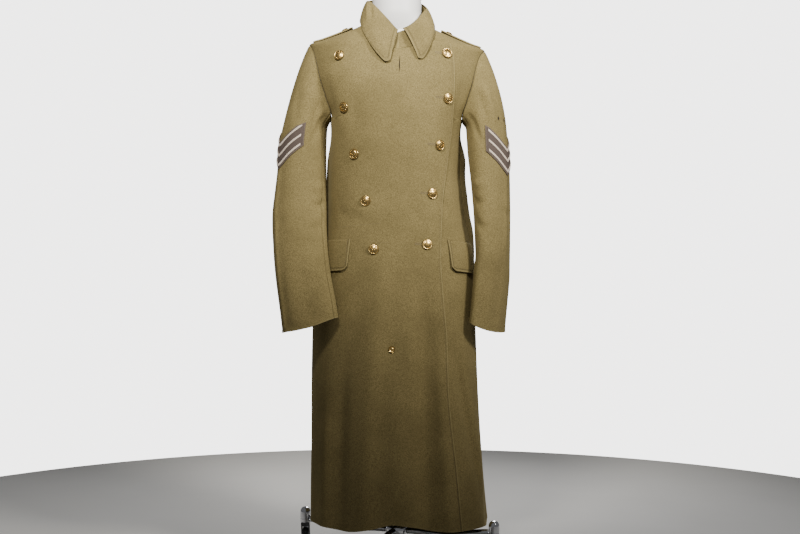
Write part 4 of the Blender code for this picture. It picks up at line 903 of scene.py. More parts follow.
def shell(name, outer, inner, face, lining, marks, round_off=0.6):
    """A thin closed piece of cloth between two grids, its rim rounded."""
    rows, columns = outer.shape[:2]
    loop = [(0, j) for j in range(columns)] + [(i, columns - 1) for i in range(1, rows)]
    loop += [(rows - 1, j) for j in range(columns - 2, -1, -1)]
    loop += [(i, 0) for i in range(rows - 2, 0, -1)]
    loop = np.array(loop)
    rim_out = outer[loop[:, 0], loop[:, 1]]
    rim_in = inner[loop[:, 0], loop[:, 1]]
    inside = np.clip(loop + np.sign(np.array([[rows / 2, columns / 2]]) - loop).astype(int), 0, None)
    on_row = (loop[:, 0] == 0) | (loop[:, 0] == rows - 1)
    on_side = (loop[:, 1] == 0) | (loop[:, 1] == columns - 1)
    back_i = np.where(on_row, inside[:, 0], loop[:, 0])
    back_j = np.where(on_side, inside[:, 1], loop[:, 1])
    leave = unit((rim_out + rim_in) / 2 - (outer[back_i, back_j] + inner[back_i, back_j]) / 2)
    middle, half = (rim_out + rim_in) / 2, (rim_out - rim_in) / 2
    size = np.linalg.norm(half, axis=-1, keepdims=True) * round_off
    bends = []
    for angle in (math.radians(38), math.radians(90), math.radians(142)):
        bends.append(middle + half * math.cos(angle) + leave * size * math.sin(angle))
    points = np.concatenate([outer.reshape(-1, 3), inner.reshape(-1, 3), *bends])
    points[:, 0] += NECK_X
    number = np.arange(rows * columns).reshape(rows, columns)
    a, b, c, d = number[:-1, :-1], number[:-1, 1:], number[1:, 1:], number[1:, :-1]
    front = np.stack([a, b, c, d], -1).reshape(-1, 4)
    back = front[:, ::-1] + rows * columns
    count = len(loop)
    first = loop[:, 0] * columns + loop[:, 1]
    levels = [first] + [2 * rows * columns + k * count + np.arange(count) for k in range(3)]
    levels.append(first + rows * columns)
    rim = []
    for upper, lower in zip(levels[:-1], levels[1:]):
        rim.append(np.stack([np.roll(upper, -1), upper, lower, np.roll(lower, -1)], -1))
    rim = np.concatenate(rim)
    faces = np.concatenate([front, back, rim])
    mesh = bpy.data.meshes.new(name)
    mesh.vertices.add(len(points))
    mesh.vertices.foreach_set("co", points.astype(np.float32).ravel())
    mesh.loops.add(faces.size)
    mesh.loops.foreach_set("vertex_index", faces.astype(np.int32).ravel())
    mesh.polygons.add(len(faces))
    mesh.polygons.foreach_set("loop_start", np.arange(0, faces.size, 4, dtype=np.int32))
    mesh.materials.append(face)
    mesh.materials.append(lining)
    which = np.zeros(len(faces), np.int32)
    which[len(front) : 2 * len(front)] = 1
    mesh.polygons.foreach_set("material_index", which)
    mesh.update(calc_edges=True)
    mesh.shade_smooth()
    across, down = run_length(outer, 1), run_length(outer, 0)
    for label, grid in {"across": across, "down": down, **marks}.items():
        data = np.concatenate([grid.ravel(), grid.ravel(), np.tile(grid[loop[:, 0], loop[:, 1]], 3)])
        made = mesh.attributes.new(label, "FLOAT", "POINT")
        made.data.foreach_set("value", data.astype(np.float32))
    piece = bpy.data.objects.new(name, mesh)
    bpy.context.scene.collection.objects.link(piece)
    if signed_volume(mesh) < 0:
        mesh.flip_normals()
    return piece


def signed_volume(mesh):
    """Signed volume of a closed mesh: negative where it is inside out."""
    mesh.calc_loop_triangles()
    corners = np.empty(len(mesh.loop_triangles) * 3, np.int32)
    mesh.loop_triangles.foreach_get("vertices", corners)
    places = np.empty(len(mesh.vertices) * 3, np.float32)
    mesh.vertices.foreach_get("co", places)
    p = places.reshape(-1, 3)[corners].reshape(-1, 3, 3).astype(float)
    return float(np.einsum("ij,ij->i", p[:, 0], np.cross(p[:, 1], p[:, 2])).sum())


def declare_cut(piece, outer, held, rests_on, with_pieces=()):
    """Works out the flat width, length and area that this piece was cut to; they are not passed on."""
    width = float(run_length(outer, 1)[:, -1].max())
    length = float(run_length(outer, 0)[-1].max())
    sides = [outer[1:, :-1] - outer[:-1, :-1], outer[:-1, 1:] - outer[:-1, :-1]]
    area = float(np.linalg.norm(np.cross(sides[0], sides[1]), axis=-1).sum())
    area = min(area, width * length)


# Surfaces of the sleeves and the collar


def arm_ring(side, around, rise):
    """A point of a sleeve below its cap. around is 0 at the inner side, a
    quarter turn at the front and half a turn outside."""
    table = ARMS[side]
    around, rise = np.broadcast_arrays(np.asarray(around, float), np.asarray(rise, float))

    def middle(at):
        across = side * column(table, "rise", "across", at)
        return np.stack([across, -column(table, "rise", "forward", at), at], -1)

    down = unit(middle(rise - 0.01) - middle(rise + 0.01))
    yaw = np.radians(column(table, "rise", "yaw", rise))
    wide_axis = np.stack([side * np.cos(yaw), np.sin(yaw), np.zeros_like(yaw)], -1)
    wide_axis = unit(wide_axis - down * (wide_axis * down).sum(-1, keepdims=True))
    deep_axis = np.cross(wide_axis, down) * side
    angle = math.pi + around - yaw
    line = 1.0 + ELBOW_RIDGE * np.exp(-(((around - ELBOW_LINE) / 0.16) ** 2))
    wide = (column(table, "rise", "wide", rise) * np.cos(angle) * line)[..., None]
    deep = (column(table, "rise", "deep", rise) * np.sin(angle) * line)[..., None]
    return middle(rise) + wide * wide_axis + deep * deep_axis


def sleeve(side, around, down):
    """A sleeve's outer face: down is 0 at the armhole, 1 at the first arm
    section and 2 at the cuff."""
    around, down = np.broadcast_arrays(np.asarray(around, float), np.asarray(down, float))
    first, last = ARMS[side][0].rise, ARMS[side][-1].rise
    tilt = CUFF_TILT[side] * np.cos(around) * ease((down - 1.6) / 0.4)
    low = arm_ring(side, around, mix(first, last, np.maximum(down - 1.0, 0.0)) + tilt)
    turn = around % (2 * math.pi)
    front = turn <= math.pi
    step = np.where(front, turn, 2 * math.pi - turn) / math.pi * ARMHOLE_STEPS
    start = cloth(*armhole(side, step, front))
    end = arm_ring(side, around, np.full(around.shape, first))
    outness = (1.0 - np.cos(around)) / 2
    leave = unit(np.stack([
        side * (0.65 + CAP_REACH * outness),
        -0.35 * np.sin(around),
        -(1.0 - CAP_LIFT * outness),
    ], -1))
    start = start + leave * 1.5 * GAP
    ahead = arm_ring(side, around, np.full(around.shape, first - 0.02)) - end
    reach = np.linalg.norm(end - start, axis=-1, keepdims=True)
    cap = hermite(start, leave * reach * 0.85, end, unit(ahead) * reach, np.minimum(down, 1.0)[..., None])
    return np.where((down >= 1.0)[..., None], low, cap)


def sleeve_creases(side, around, rise):
    scale = METRES_PER_DEGREE
    rows = []
    for row in SLEEVE_CREASES[side]:
        rows.append(row._replace(points=tuple((u * scale, v) for u, v in row.points)))
    degrees = np.degrees(around)
    total = crease_height(rows, degrees * scale, rise)
    return total + crease_height(rows, (degrees - 360.0) * scale, rise)


def sleeve_at(side, around, down):
    """Place, outward direction and crease height of a sleeve."""
    around, down = np.broadcast_arrays(np.asarray(around, float), np.asarray(down, float))
    place = sleeve(side, around, down)
    step = np.where(down >= 0.01, 0.01, 0.0)
    along_u = sleeve(side, around + 0.03, down) - sleeve(side, around - 0.03, down)
    along_v = sleeve(side, around, down + 0.01) - sleeve(side, around, down - step)
    normal = unit(np.cross(along_v, along_u)) * side
    height = sleeve_creases(side, around, place[..., 2]) * ease((down - 0.10) / 0.35)
    return place, normal, height


def sleeve_down_at(side, rise):
    first, last = ARMS[side][0].rise, ARMS[side][-1].rise
    low = 1.0 + (first - rise) / (first - last)
    return np.where(rise <= first, low, 1.0 - (rise - first) / (SHOULDER_TIP_RISE - first))


def fold_point(turn):
    reach = np.abs(np.sin(turn))
    left = np.sin(turn) > 0
    side = np.where(left, FOLD_LEFT_RISE, FOLD_RIGHT_RISE)
    front = side * np.where(left, mix(reach**FOLD_SAG, reach, FOLD_LINEAR), reach)
    rise = np.where(np.cos(turn) > 0, front, side - (FOLD_BACK_RISE - side) * np.cos(turn))
    forward = FOLD_FORWARD + FOLD_DEPTH * np.cos(turn)
    return np.stack([FOLD_HALF * np.sin(turn), -forward, FOLD_FRONT_RISE + rise], -1)


def leaf_edge(turn):
    right = turn <= math.pi
    part = 1.0 - np.abs(turn - math.pi) / np.where(right, math.pi - COLLAR_START, COLLAR_END - math.pi)
    values = []
    for name in ("across", "forward", "rise"):
        right_side = column(RIGHT_LEAF, "part", name, part)
        values.append(np.where(right, right_side, column(LEFT_LEAF, "part", name, part)))
    across, forward, rise = values
    return np.stack([np.where(right, across, -across), -forward, rise], -1)


LEAF_CREASES = (
    Crease(((0.464, 0.052), (0.450, 0.038), (0.438, 0.018)), 0.0060, 0.0080, 0.0030, 0.35, 0.35),
    Crease(((0.476, 0.046), (0.464, 0.030), (0.456, 0.016)), 0.0050, 0.0060, -0.0024, 0.4, 0.4),
    Crease(((0.090, 0.050), (0.106, 0.034), (0.120, 0.014)), 0.0080, 0.0090, -0.0020, 0.4, 0.4),
    Crease(((0.210, 0.030), (0.250, 0.036), (0.300, 0.028)), 0.0090, 0.0110, 0.0020, 0.5, 0.5),
)


def collar_leaf(turn, down):
    """The collar's leaf: down is 0 at the fold and 1 at its edge."""
    turn, down = np.broadcast_arrays(np.asarray(turn, float), np.asarray(down, float))
    along = unit(fold_point(turn + 0.03) - fold_point(turn - 0.03))
    up = unit(np.array([0.0, 0.0, 1.0]) - along * along[..., 2:])
    forward = np.maximum(np.cos(turn), 0.0)[..., None]
    start = fold_point(turn) + up * (WALL + 3 * GAP + 0.0018 * forward)
    away = np.stack([np.sin(turn), -np.cos(turn), np.zeros_like(turn)], -1)
    end = leaf_edge(turn)
    leave = (away + np.array([0.0, 0.0, 0.20])) * (ROLL_REACH + FRONT_ROLL * forward)
    arrive = end - start
    arrive = arrive - away * (arrive * away).sum(-1, keepdims=True)
    return hermite(start, leave, end, arrive, (down**LEAF_BEND)[..., None])


# Panels


def panel_places(columns, rows, top, near_edge, far_turn, side, front):
    """(turn, rise) at every crossing of a panel's lines, from hem to neck."""
    span = columns[-1]
    c = columns[None, :]
    across = c / span
    skirt = rows[rows < SKIRT_ROWS][:, None]
    part = (skirt / SKIRT_ROWS) ** 0.92
    start = near_edge(mix(0.12, ARMPIT_RISE, part))
    turn = mix(start, far_turn, across)
    low_turn, low_rise = turn, mix(hem_rise(turn), ARMPIT_RISE, part)
    s = rows[rows >= SKIRT_ROWS][:, None] - SKIRT_ROWS
    far = armhole(side, s, front)
    part = (far[1] - ARMPIT_RISE) / (SHOULDER_TIP_RISE - ARMPIT_RISE)
    top_turn, top_rise = top(columns)
    near_rise = mix(ARMPIT_RISE, top_rise[0], part)
    near_turn = mix(near_edge(near_rise), top_turn[0], ease((s - (ARMHOLE_STEPS - 1.0)) * 1.0))
    armpit_turn = mix(near_edge(np.array(ARMPIT_RISE)), far_turn, across)
    high = []
    for near, far_value, bottom, upper in (
        (near_turn, far[0], armpit_turn, top_turn[None, :]),
        (near_rise, far[1], np.full_like(across, ARMPIT_RISE), top_rise[None, :]),
    ):
        sides = mix(near, far_value, across)
        ends = mix(bottom, upper, part)
        corners = mix(
            mix(bottom[:, :1], bottom[:, -1:], across), mix(upper[:, :1], upper[:, -1:], across), part
        )
        high.append(sides + ends - corners)
    return np.concatenate([low_turn, high[0]]), np.concatenate([low_rise, high[1]])


def front_top(side):
    """The front's upper boundary as a function of its column."""
    far_side = -side
    join_turn, join_rise = neckline(side * NECK_TURNS[NECK_JOIN])
    join_across = NECK_HALF * math.sin(NECK_TURNS[NECK_JOIN])
    part = np.arange(TOP_EDGE_STEPS + 1) / TOP_EDGE_STEPS
    edge_across = mix(TOP_CORNER_X, join_across, part)
    edge_rise = mix(TOP_EDGE_RISE, join_rise, ease(part))
    edge_rise[0] = TOP_CORNER_RISE
    angles = np.concatenate([-NECK_TURNS[NECK_JOIN:0:-1], NECK_TURNS]) * far_side
    neck_end = TOP_EDGE_STEPS + len(angles) - 1

    def top(c):
        index = np.arange(TOP_EDGE_STEPS + 1)
        across, rise = np.interp(c, index, edge_across), np.interp(c, index, edge_rise)
        first = (turn_at(side * across, rise), rise)
        second = neckline(np.interp(c, np.arange(TOP_EDGE_STEPS, neck_end + 1), angles))
        third = shoulder_seam(far_side, np.clip((c - neck_end) / SHOULDER_STEPS, 0.0, 1.0))
        early, late = c < TOP_EDGE_STEPS, c > neck_end
        return tuple(np.where(early, a, np.where(late, z, m)) for a, m, z in zip(first, second, third))

    return top, neck_end + SHOULDER_STEPS


def back_top(side):
    def top(c):
        angle = math.pi * (1 - 0.5 * np.clip(c / BACK_NECK_STEPS, 0.0, 1.0))
        across = NECK_HALF * np.sin(angle)
        rise = NECK_SIDE_RISE - NECK_BACK_RISE * np.cos(angle)
        first = (side * np.abs(turn_at(np.maximum(across, 1e-9), rise, False)), rise)
        second = shoulder_seam(side, np.clip((c - BACK_NECK_STEPS) / SHOULDER_STEPS, 0.0, 1.0))
        return tuple(np.where(c > BACK_NECK_STEPS, b, a) for a, b in zip(first, second))

    return top, BACK_NECK_STEPS + SHOULDER_STEPS


# How cloth is made up: sewn sides roll into their seam, turned ones are thicker
SIDES = {"near": (1, 1), "far": (1, -1), "bottom": (0, 1), "top": (0, -1)}
SEAM_CLOSE = 0.0002
TUCK = 0.0018
TUCK_SINK = 0.0012
TUCK_WIDTH = 0.0030
SEAM_SINK = 0.0006
SEAM_WIDTH = 0.0026
HEM_WIDTH = 0.0085
HEM_EASE = 0.0025


def distance_from(grid, names):
    """Distance over a grid from the nearest of the named sides, at most 1 m."""
    best = np.full(grid.shape[:2], 1.0)
    for name in names:
        axis, way = SIDES[name]
        run = run_length(grid, axis)
        if way < 0:
            run = np.take(run, [-1], axis=axis) - run
        best = np.minimum(best, run)
    return best


def make_up(name, place, normal, height, sewn, turned, held, rests_on,
            thick=WALL, face=None, lining=None, hem_extra=0.0005, tucked=(), stitched=(), inset=EDGE_STITCH):
    """A cloth piece from its face, its directions outwards and its relief.
    sewn, turned, tucked and stitched name sides of the grid."""
    plain = place + normal * height[..., None]
    seam, edge = distance_from(plain, sewn), distance_from(plain, turned)
    sink = SEAM_SINK * np.exp(-((seam / SEAM_WIDTH) ** 2))
    sink = sink + TUCK_SINK * np.exp(-((distance_from(plain, tucked) / TUCK_WIDTH) ** 2))
    extra = hem_extra * ease((HEM_WIDTH - edge) / HEM_EASE)
    outer = place + normal * (height - sink + extra * 0.6)[..., None]
    inner = place + normal * (height - thick - extra * 0.4)[..., None]
    room = {side: 0.5 * GAP + 0.3 * thick for side in turned}
    room.update({side: 0.3 * thick - SEAM_CLOSE for side in sewn})
    room.update({side: -TUCK for side in tucked})
    for side, amount in room.items():
        outer, inner = pull_in(outer, side, amount), pull_in(inner, side, amount)
    stitch = np.abs(distance_from(plain, stitched) - inset)
    piece = shell(name, outer, inner, face or melton, lining or lining_twill,
                  {"seam": seam, "edge": edge, "stitch": stitch})
    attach(piece, "stand")
    pieces[name] = piece
    grids[name] = outer
    cuts[name] = (outer, held, rests_on)
    return piece


def fine_rows():
    """The panels' rows: none lies in the narrow strip just above the armpit."""
    low = np.arange(0, SKIRT_ROWS * 9) / 9
    low = np.concatenate([[0.0, 0.02, 0.045, 0.075], low[low > 0.1]])
    high = SKIRT_ROWS + steps(ARMHOLE_STEPS, 4)[1:]
    return np.concatenate([low, [SKIRT_ROWS], high[high > SKIRT_ROWS + 0.70]])


def build_fronts():
    for name, side, top_one in (("right_front", 1, True), ("left_front", -1, False)):
        top, span = front_top(side)
        columns, rows = steps(span, 5), fine_rows()

        def near(rise, side=side):
            return turn_at(side * column(FREE_EDGE, "rise", "across", rise), rise)

        turn, rise = panel_places(columns, rows, top, near, -side * math.pi / 2, -side, True)
        place = body(turn, rise)
        out = top_layer(turn) if top_one else under_layer(turn, rise)
        height = out + relief(turn, rise, place)
        rests = ("form_torso",) if not top_one else ("form_torso", "left_front_cloth")
        make_up(name + "_cloth", place, body_normal(turn, rise), height, ("far", "top"), ("near", "bottom"),
                "hung", rests, hem_extra=0.0011 if top_one else 0.0005, stitched=("near",))


def build_backs():
    for name, side in (("back_left", -1), ("back_right", 1)):
        top, span = back_top(side)
        columns, rows = steps(span, 9), fine_rows()
        turn, rise = panel_places(
            columns, rows, top, lambda at, side=side: np.full(np.shape(at), side * math.pi),
            side * math.pi / 2, side, False
        )
        place = body(turn, rise)
        make_up(name + "_cloth", place, body_normal(turn, rise), relief(turn, rise, place),
                ("near", "far", "top"), ("bottom",), "hung", ("form_torso",))


def build_sleeves():
    cap = steps(CAP_ROWS, 8) / CAP_ROWS
    arm = 1.0 + steps(SLEEVE_ROWS, 11) / SLEEVE_ROWS
    down = np.concatenate([cap[:-4], arm[4:]])
    for side, word in ((-1, "left"), (1, "right")):
        for part, first, last in (("top", FOREARM_SEAM, ELBOW_SEAM), ("under", ELBOW_SEAM, 24 + FOREARM_SEAM)):
            around = np.radians(15.0 * (first + steps(last - first, 6)))
            place, normal, height = sleeve_at(side, around[None, :], down[:, None])
            make_up(f"{part}_sleeve_{word}_cloth", place, normal, height, ("near", "far", "bottom"), ("top",),
                    "hung", ("right_front_cloth" if side < 0 else "left_front_cloth",), tucked=("bottom",))


def build_collar():
    turn = np.concatenate([
        COLLAR_START + np.array([0.0, 0.006, 0.014, 0.024]),
        np.linspace(COLLAR_START, COLLAR_END, 190)[2:-2],
        COLLAR_END - np.array([0.024, 0.014, 0.006, 0.0]),
    ])
    rise = np.concatenate([[0.0, 0.05, 0.12], np.linspace(0.2, 1.0, 12)])[:, None]
    leaf_turn = turn
    turn = np.concatenate([np.linspace(STAND_START, COLLAR_START, 9)[:-1], turn])
    inward = np.stack([-np.sin(turn), np.cos(turn), np.zeros_like(turn)], -1)
    low = body(*neckline(turn)) + inward * STAND_INSET + np.array([0.0, 0.0, STAND_LIFT])
    grid = low[None] + (fold_point(turn)[None] - low[None]) * rise[..., None]
    make_up("collar_stand_cloth", grid, grid_normals(grid), np.zeros(grid.shape[:2]),
            ("bottom", "top"), ("near", "far"), "stretched",
            ("right_front_cloth", "left_front_cloth"), lining=melton, hem_extra=0.0)
    down = np.concatenate([np.linspace(0.0, 0.93, 40), [0.955, 0.975, 0.99, 1.0]])[::-1, None]
    grid = collar_leaf(leaf_turn[None, :], down)
    flat_turn = np.degrees(np.broadcast_to(leaf_turn[None, :], grid.shape[:2])) * 0.0015
    flat_down = np.broadcast_to(down * LEAF_HEIGHT, grid.shape[:2])
    height = crease_height(LEAF_CREASES, flat_turn, flat_down)
    make_up("collar_leaf_cloth", grid, grid_normals(grid), height, ("top",), ("near", "far", "bottom"),
            "folded", ("collar_stand_cloth", "right_front_cloth"), thick=LEAF_WALL, lining=melton,
            stitched=("near", "far", "bottom"), inset=LEAF_STITCH)


def shoulder_rise(across, forward):
    """Height of the shoulder's top over a place on the plan."""
    across, forward = np.broadcast_arrays(across, forward)
    low, high = np.full(across.shape, 1.26), np.full(across.shape, 1.37)
    for _ in range(40):
        middle = (low + high) / 2
        power = ring(middle, "power")
        depth = np.where(forward > 0, ring(middle, "front"), ring(middle, "back"))
        reach = np.abs(across / ring(middle, "left")) ** power + np.abs(forward / depth) ** power
        low, high = np.where(reach < 1.0, middle, low), np.where(reach < 1.0, high, middle)
    return (low + high) / 2


def build_straps():
    for side, word in ((-1, "left"), (1, "right")):
        part = (steps(9, 7) / 9)[None, :]
        forward = (steps(4, 6) / 2 - 1.0)[:, None]
        narrow = 1.0 - 0.55 * (1.0 - np.clip(part / 0.16, 0.0, 1.0)) ** 2
        across = mix(STRAP_NEAR, STRAP_FAR, part) + 0.0 * forward
        y = forward * STRAP_HALF * narrow
        lift = STRAP_LIFT + STRAP_ARCH * (1.0 - part) ** 2 + STRAP_WALL
        rise = shoulder_rise(across, y) + SHOULDER_LEAN * side * across + lift
        grid = np.stack([side * across, -y, rise], -1)
        normal = np.broadcast_to(np.array([0.0, 0.0, 1.0]), grid.shape)
        puff = STRAP_PUFF * (1.0 - forward**2) * np.ones_like(part)
        puff = puff - STRAP_EDGE_DIP * np.exp(-(((1 - np.abs(forward)) / 0.12) ** 2))
        under = "right_front_cloth" if side < 0 else "left_front_cloth"
        make_up(f"shoulder_strap_{word}_cloth", grid, normal, puff, ("far",), ("near", "bottom", "top"),
                "laid", (under,), thick=STRAP_WALL, hem_extra=0.0, stitched=("near", "bottom", "top"))


def build_flaps():
    for flap in FLAPS:
        part = (steps(8, 6) / 8)[None, :]
        down = (steps(6, 6) / 6)[:, None]
        turn = flap.side * np.radians(mix(flap.near, flap.far, part)) + 0.0 * down
        corner = FLAP_CORNER * (1.0 - np.clip(part / 0.14, 0.0, 1.0)) ** 2 * down
        rise = mix(flap.near_rise, flap.far_rise, part) - (flap.depth - corner) * down
        lift = FLAP_OFF + FLAP_CURL * down * (1.0 - part) ** 1.5 + FLAP_WALL
        lift = lift + (top_layer(turn) if flap.side < 0 else 0.0)
        place = body(turn, rise)
        height = lift + relief(turn, rise, place)
        under = "right_front_cloth" if flap.side < 0 else "left_front_cloth"
        make_up(f"{flap.name}_cloth", place, body_normal(turn, rise), height, ("bottom",),
                ("near", "far", "top"), "hung", (under,), thick=FLAP_WALL, hem_extra=0.0,
                stitched=("near", "far", "top"))


def chevron_grid(side, low, high, span, out, rows):
    part = np.linspace(-1.0, 1.0, 61)[None, :]
    height = np.linspace(low, high, rows)[:, None]
    around = math.radians(CHEVRON_TURN[side]) + part * math.radians(span)
    point = np.sqrt(part**2 + 0.0012) - math.sqrt(0.0012)
    rise = CHEVRON_TIPS[side] + height + CHEVRON_LIFT * point * span / CHEVRON_SPAN
    place, normal, relief_here = sleeve_at(side, around + 0.0 * rise, sleeve_down_at(side, rise))
    return place, normal, relief_here + out


def build_chevrons():
    for side, word in ((-1, "left"), (1, "right")):
        under = f"top_sleeve_{word}_cloth"
        low = -2 * CHEVRON_PITCH - PATCH_RIM
        span = CHEVRON_SPAN * PATCH_SIDE
        place, normal, height = chevron_grid(side, low, PATCH_RIM, span, PATCH_OUT, 34)
        make_up(f"chevron_patch_{word}_felt", place, normal, height, (), ("near", "far", "bottom", "top"),
                "laid", (under,), PATCH_WALL, patch_felt, patch_felt, 0.0)
        for i in range(3):
            middle = -i * CHEVRON_PITCH
            place, normal, height = chevron_grid(
                side, middle - BAR_HALF, middle + BAR_HALF, CHEVRON_SPAN, BAR_OUT, 9
            )
            crown = BAR_CROWN * (1.0 - np.linspace(-1, 1, 9) ** 2)[:, None]
            make_up(f"chevron_bar_{word}_{i + 1}_braid", place, normal, height + crown, (),
                    ("near", "far", "bottom", "top"), "laid", (f"chevron_patch_{word}_felt",),
                    BAR_WALL, braid, braid, 0.0)


# What repeats: rows of stitches and the beads round a button


def geometry_tree(name, inputs):
    tree = bpy.data.node_groups.new(name, "GeometryNodeTree")
    tree.interface.new_socket("Geometry", in_out="INPUT", socket_type="NodeSocketGeometry")
    for label, kind, value in inputs:
        socket = tree.interface.new_socket(label, in_out="INPUT", socket_type=f"NodeSocket{kind}")
        if value is not None:
            socket.default_value = value
    tree.interface.new_socket("Geometry", in_out="OUTPUT", socket_type="NodeSocketGeometry")
    return tree, tree.nodes.new("NodeGroupInput").outputs, tree.nodes.new("NodeGroupOutput")


def finish_tree(tree, placed, material, result):
    """The instances made real, in one material, as the tree's result."""
    real = node(tree, "GeometryNodeRealizeInstances", {"Geometry": placed.outputs[0]})
    coloured = node(tree, "GeometryNodeSetMaterial", {"Geometry": real.outputs[0], "Material": material})
    tree.links.new(coloured.outputs[0], result.inputs[0])


def stitch_tree():
    """Stitches laid at an even pitch along a line, each along its heading."""
    tree, given, result = geometry_tree("row_of_stitches", (
        ("Pitch", "Float", STITCH_PITCH), ("Length", "Float", 0.0024), ("Thickness", "Float", 0.0007),
        ("Unevenness", "Float", 0.12), ("Seed", "Int", 3), ("Thread", "Material", None),
    ))
    line = node(tree, "GeometryNodeMeshToCurve", {"Mesh": given["Geometry"]})
    spaced = node(
        tree, "GeometryNodeResampleCurve", {"Curve": line.outputs[0], "Length": given["Pitch"]}, mode="LENGTH"
    )
    heading = node(tree, "GeometryNodeInputNamedAttribute", {"Name": "heading"}, data_type="FLOAT_VECTOR")
    aimed = node(tree, "FunctionNodeAlignRotationToVector", {"Vector": heading.outputs[0]}, axis="Z")
    twist = node(tree, "FunctionNodeRandomValue", {"Seed": given["Seed"]}, data_type="FLOAT")
    low = math_node(tree, "SUBTRACT", 1.0, given["Unevenness"])
    tree.links.new(low, twist.inputs[2])
    tree.links.new(math_node(tree, "ADD", 1.0, given["Unevenness"]), twist.inputs[3])
    ball = node(tree, "GeometryNodeMeshUVSphere", {"Segments": 6, "Rings": 5, "Radius": 0.5})
    size = node(tree, "ShaderNodeCombineXYZ", {
        "X": given["Thickness"], "Y": given["Thickness"],
        "Z": math_node(tree, "MULTIPLY", given["Length"], twist.outputs[1]),
    })
    placed = node(tree, "GeometryNodeInstanceOnPoints", {
        "Points": spaced.outputs[0], "Instance": ball.outputs["Mesh"],
        "Rotation": aimed.outputs[0], "Scale": size.outputs[0],
    })
    finish_tree(tree, placed, given["Thread"], result)
    return tree


def bead_tree():
    """A ring of small beads inside a button's rim."""
    tree, given, result = geometry_tree("ring_of_beads", (
        ("Count", "Int", 40), ("Ring Radius", "Float", 0.010), ("Bead", "Float", 0.0007),
        ("Rise", "Float", 0.005), ("Metal", "Material", None),
    ))
    circle = node(
        tree, "GeometryNodeMeshCircle", {"Vertices": given["Count"], "Radius": given["Ring Radius"]}
    ).outputs[0]
    lift = node(tree, "ShaderNodeCombineXYZ", {"Z": given["Rise"]}).outputs[0]
    raised = node(tree, "GeometryNodeSetPosition", {"Geometry": circle, "Offset": lift}).outputs[0]
    bead = node(tree, "GeometryNodeMeshIcoSphere", {"Radius": given["Bead"], "Subdivisions": 1})
    placed = node(
        tree, "GeometryNodeInstanceOnPoints", {"Points": raised, "Instance": bead.outputs["Mesh"]}
    )
    finish_tree(tree, placed, given["Metal"], result)
    return tree


TREES = {"stitches": stitch_tree(), "beads": bead_tree()}


def grown(name, mesh, tree_name, **values):
    """The plain mesh that a tree makes from a starting mesh."""
    seed = bpy.data.objects.new(name, mesh)
    bpy.context.scene.collection.objects.link(seed)
    tree = TREES[tree_name]
    maker = seed.modifiers.new("grow", "NODES")
    maker.node_group = tree
    inputs = [item for item in tree.interface.items_tree if item.in_out == "INPUT"]
    keys = {item.name: item.identifier for item in inputs}
    for label, value in values.items():
        maker[keys[label.replace("_", " ")]] = value
    graph = bpy.context.evaluated_depsgraph_get()
    made = bpy.data.meshes.new_from_object(seed.evaluated_get(graph))
    made.name = name
    seed.modifiers.clear()
    seed.data = made
    return seed


def stitch_row(name, paths, headings=None, body_name="stand", **values):
    points, edges, aims = [], [], []
    for number, path in enumerate(paths):
        path = np.array(path) + np.array([NECK_X, 0.0, 0.0])
        aim = unit(np.gradient(path, axis=0)) if headings is None else headings[number]
        start = len(points)
        points += [tuple(p) for p in path]
        aims += [tuple(a) for a in aim]
        edges += [(start + i, start + i + 1) for i in range(len(path) - 1)]
    mesh = bpy.data.meshes.new(name)
    mesh.from_pydata(points, edges, [])
    heading = mesh.attributes.new("heading", "FLOAT_VECTOR", "POINT")
    heading.data.foreach_set("vector", np.array(aims, np.float32).ravel())
    piece = grown(name, mesh, "stitches", Thread=thread, **values)
    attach(piece, body_name)
    return piece


def line_beside(name, side, inset, lift=0.0001, skip=0.0):
    """A line on a piece's face at an even distance from one of its sides."""
    axis, way = SIDES[side]

    def from_side(values):
        values = values if axis == 1 else values.swapaxes(0, 1)
        return values if way > 0 else values[:, ::-1]

    grid = grids[name]
    work, normals = from_side(grid), from_side(grid_normals(grid))
    middle = grid.reshape(-1, 3).mean(0)
    if ((grid - np.array([middle[0] * 0.6, 0.02, middle[2]])) * grid_normals(grid)).sum() < 0:
        normals = -normals
    run = run_length(work, 1)
    line = []
    for row in range(work.shape[0]):
        spot = [np.interp(inset, run[row], work[row, :, k]) for k in range(3)]
        out = [np.interp(inset, run[row], normals[row, :, k]) for k in range(3)]
        line.append(np.array(spot) + unit(np.array(out)) * lift)
    line = np.array(line)
    along = np.concatenate([[0.0], np.cumsum(np.linalg.norm(np.diff(line, axis=0), axis=1))])
    keep = (along >= skip) & (along <= along[-1] - skip)
    return line[keep]


def cloth_line(points, out, count=60):
    """A line over the body's cloth through (across, rise) places."""
    points = np.array(points)
    length = np.concatenate([[0.0], np.cumsum(np.linalg.norm(np.diff(points, axis=0), axis=1))])
    at = np.linspace(0.0, length[-1], count)
    across, rise = np.interp(at, length, points[:, 0]), np.interp(at, length, points[:, 1])
    turn = turn_at(across, rise)
    return cloth(turn, rise, top_layer(turn) + out), body_normal(turn, rise)


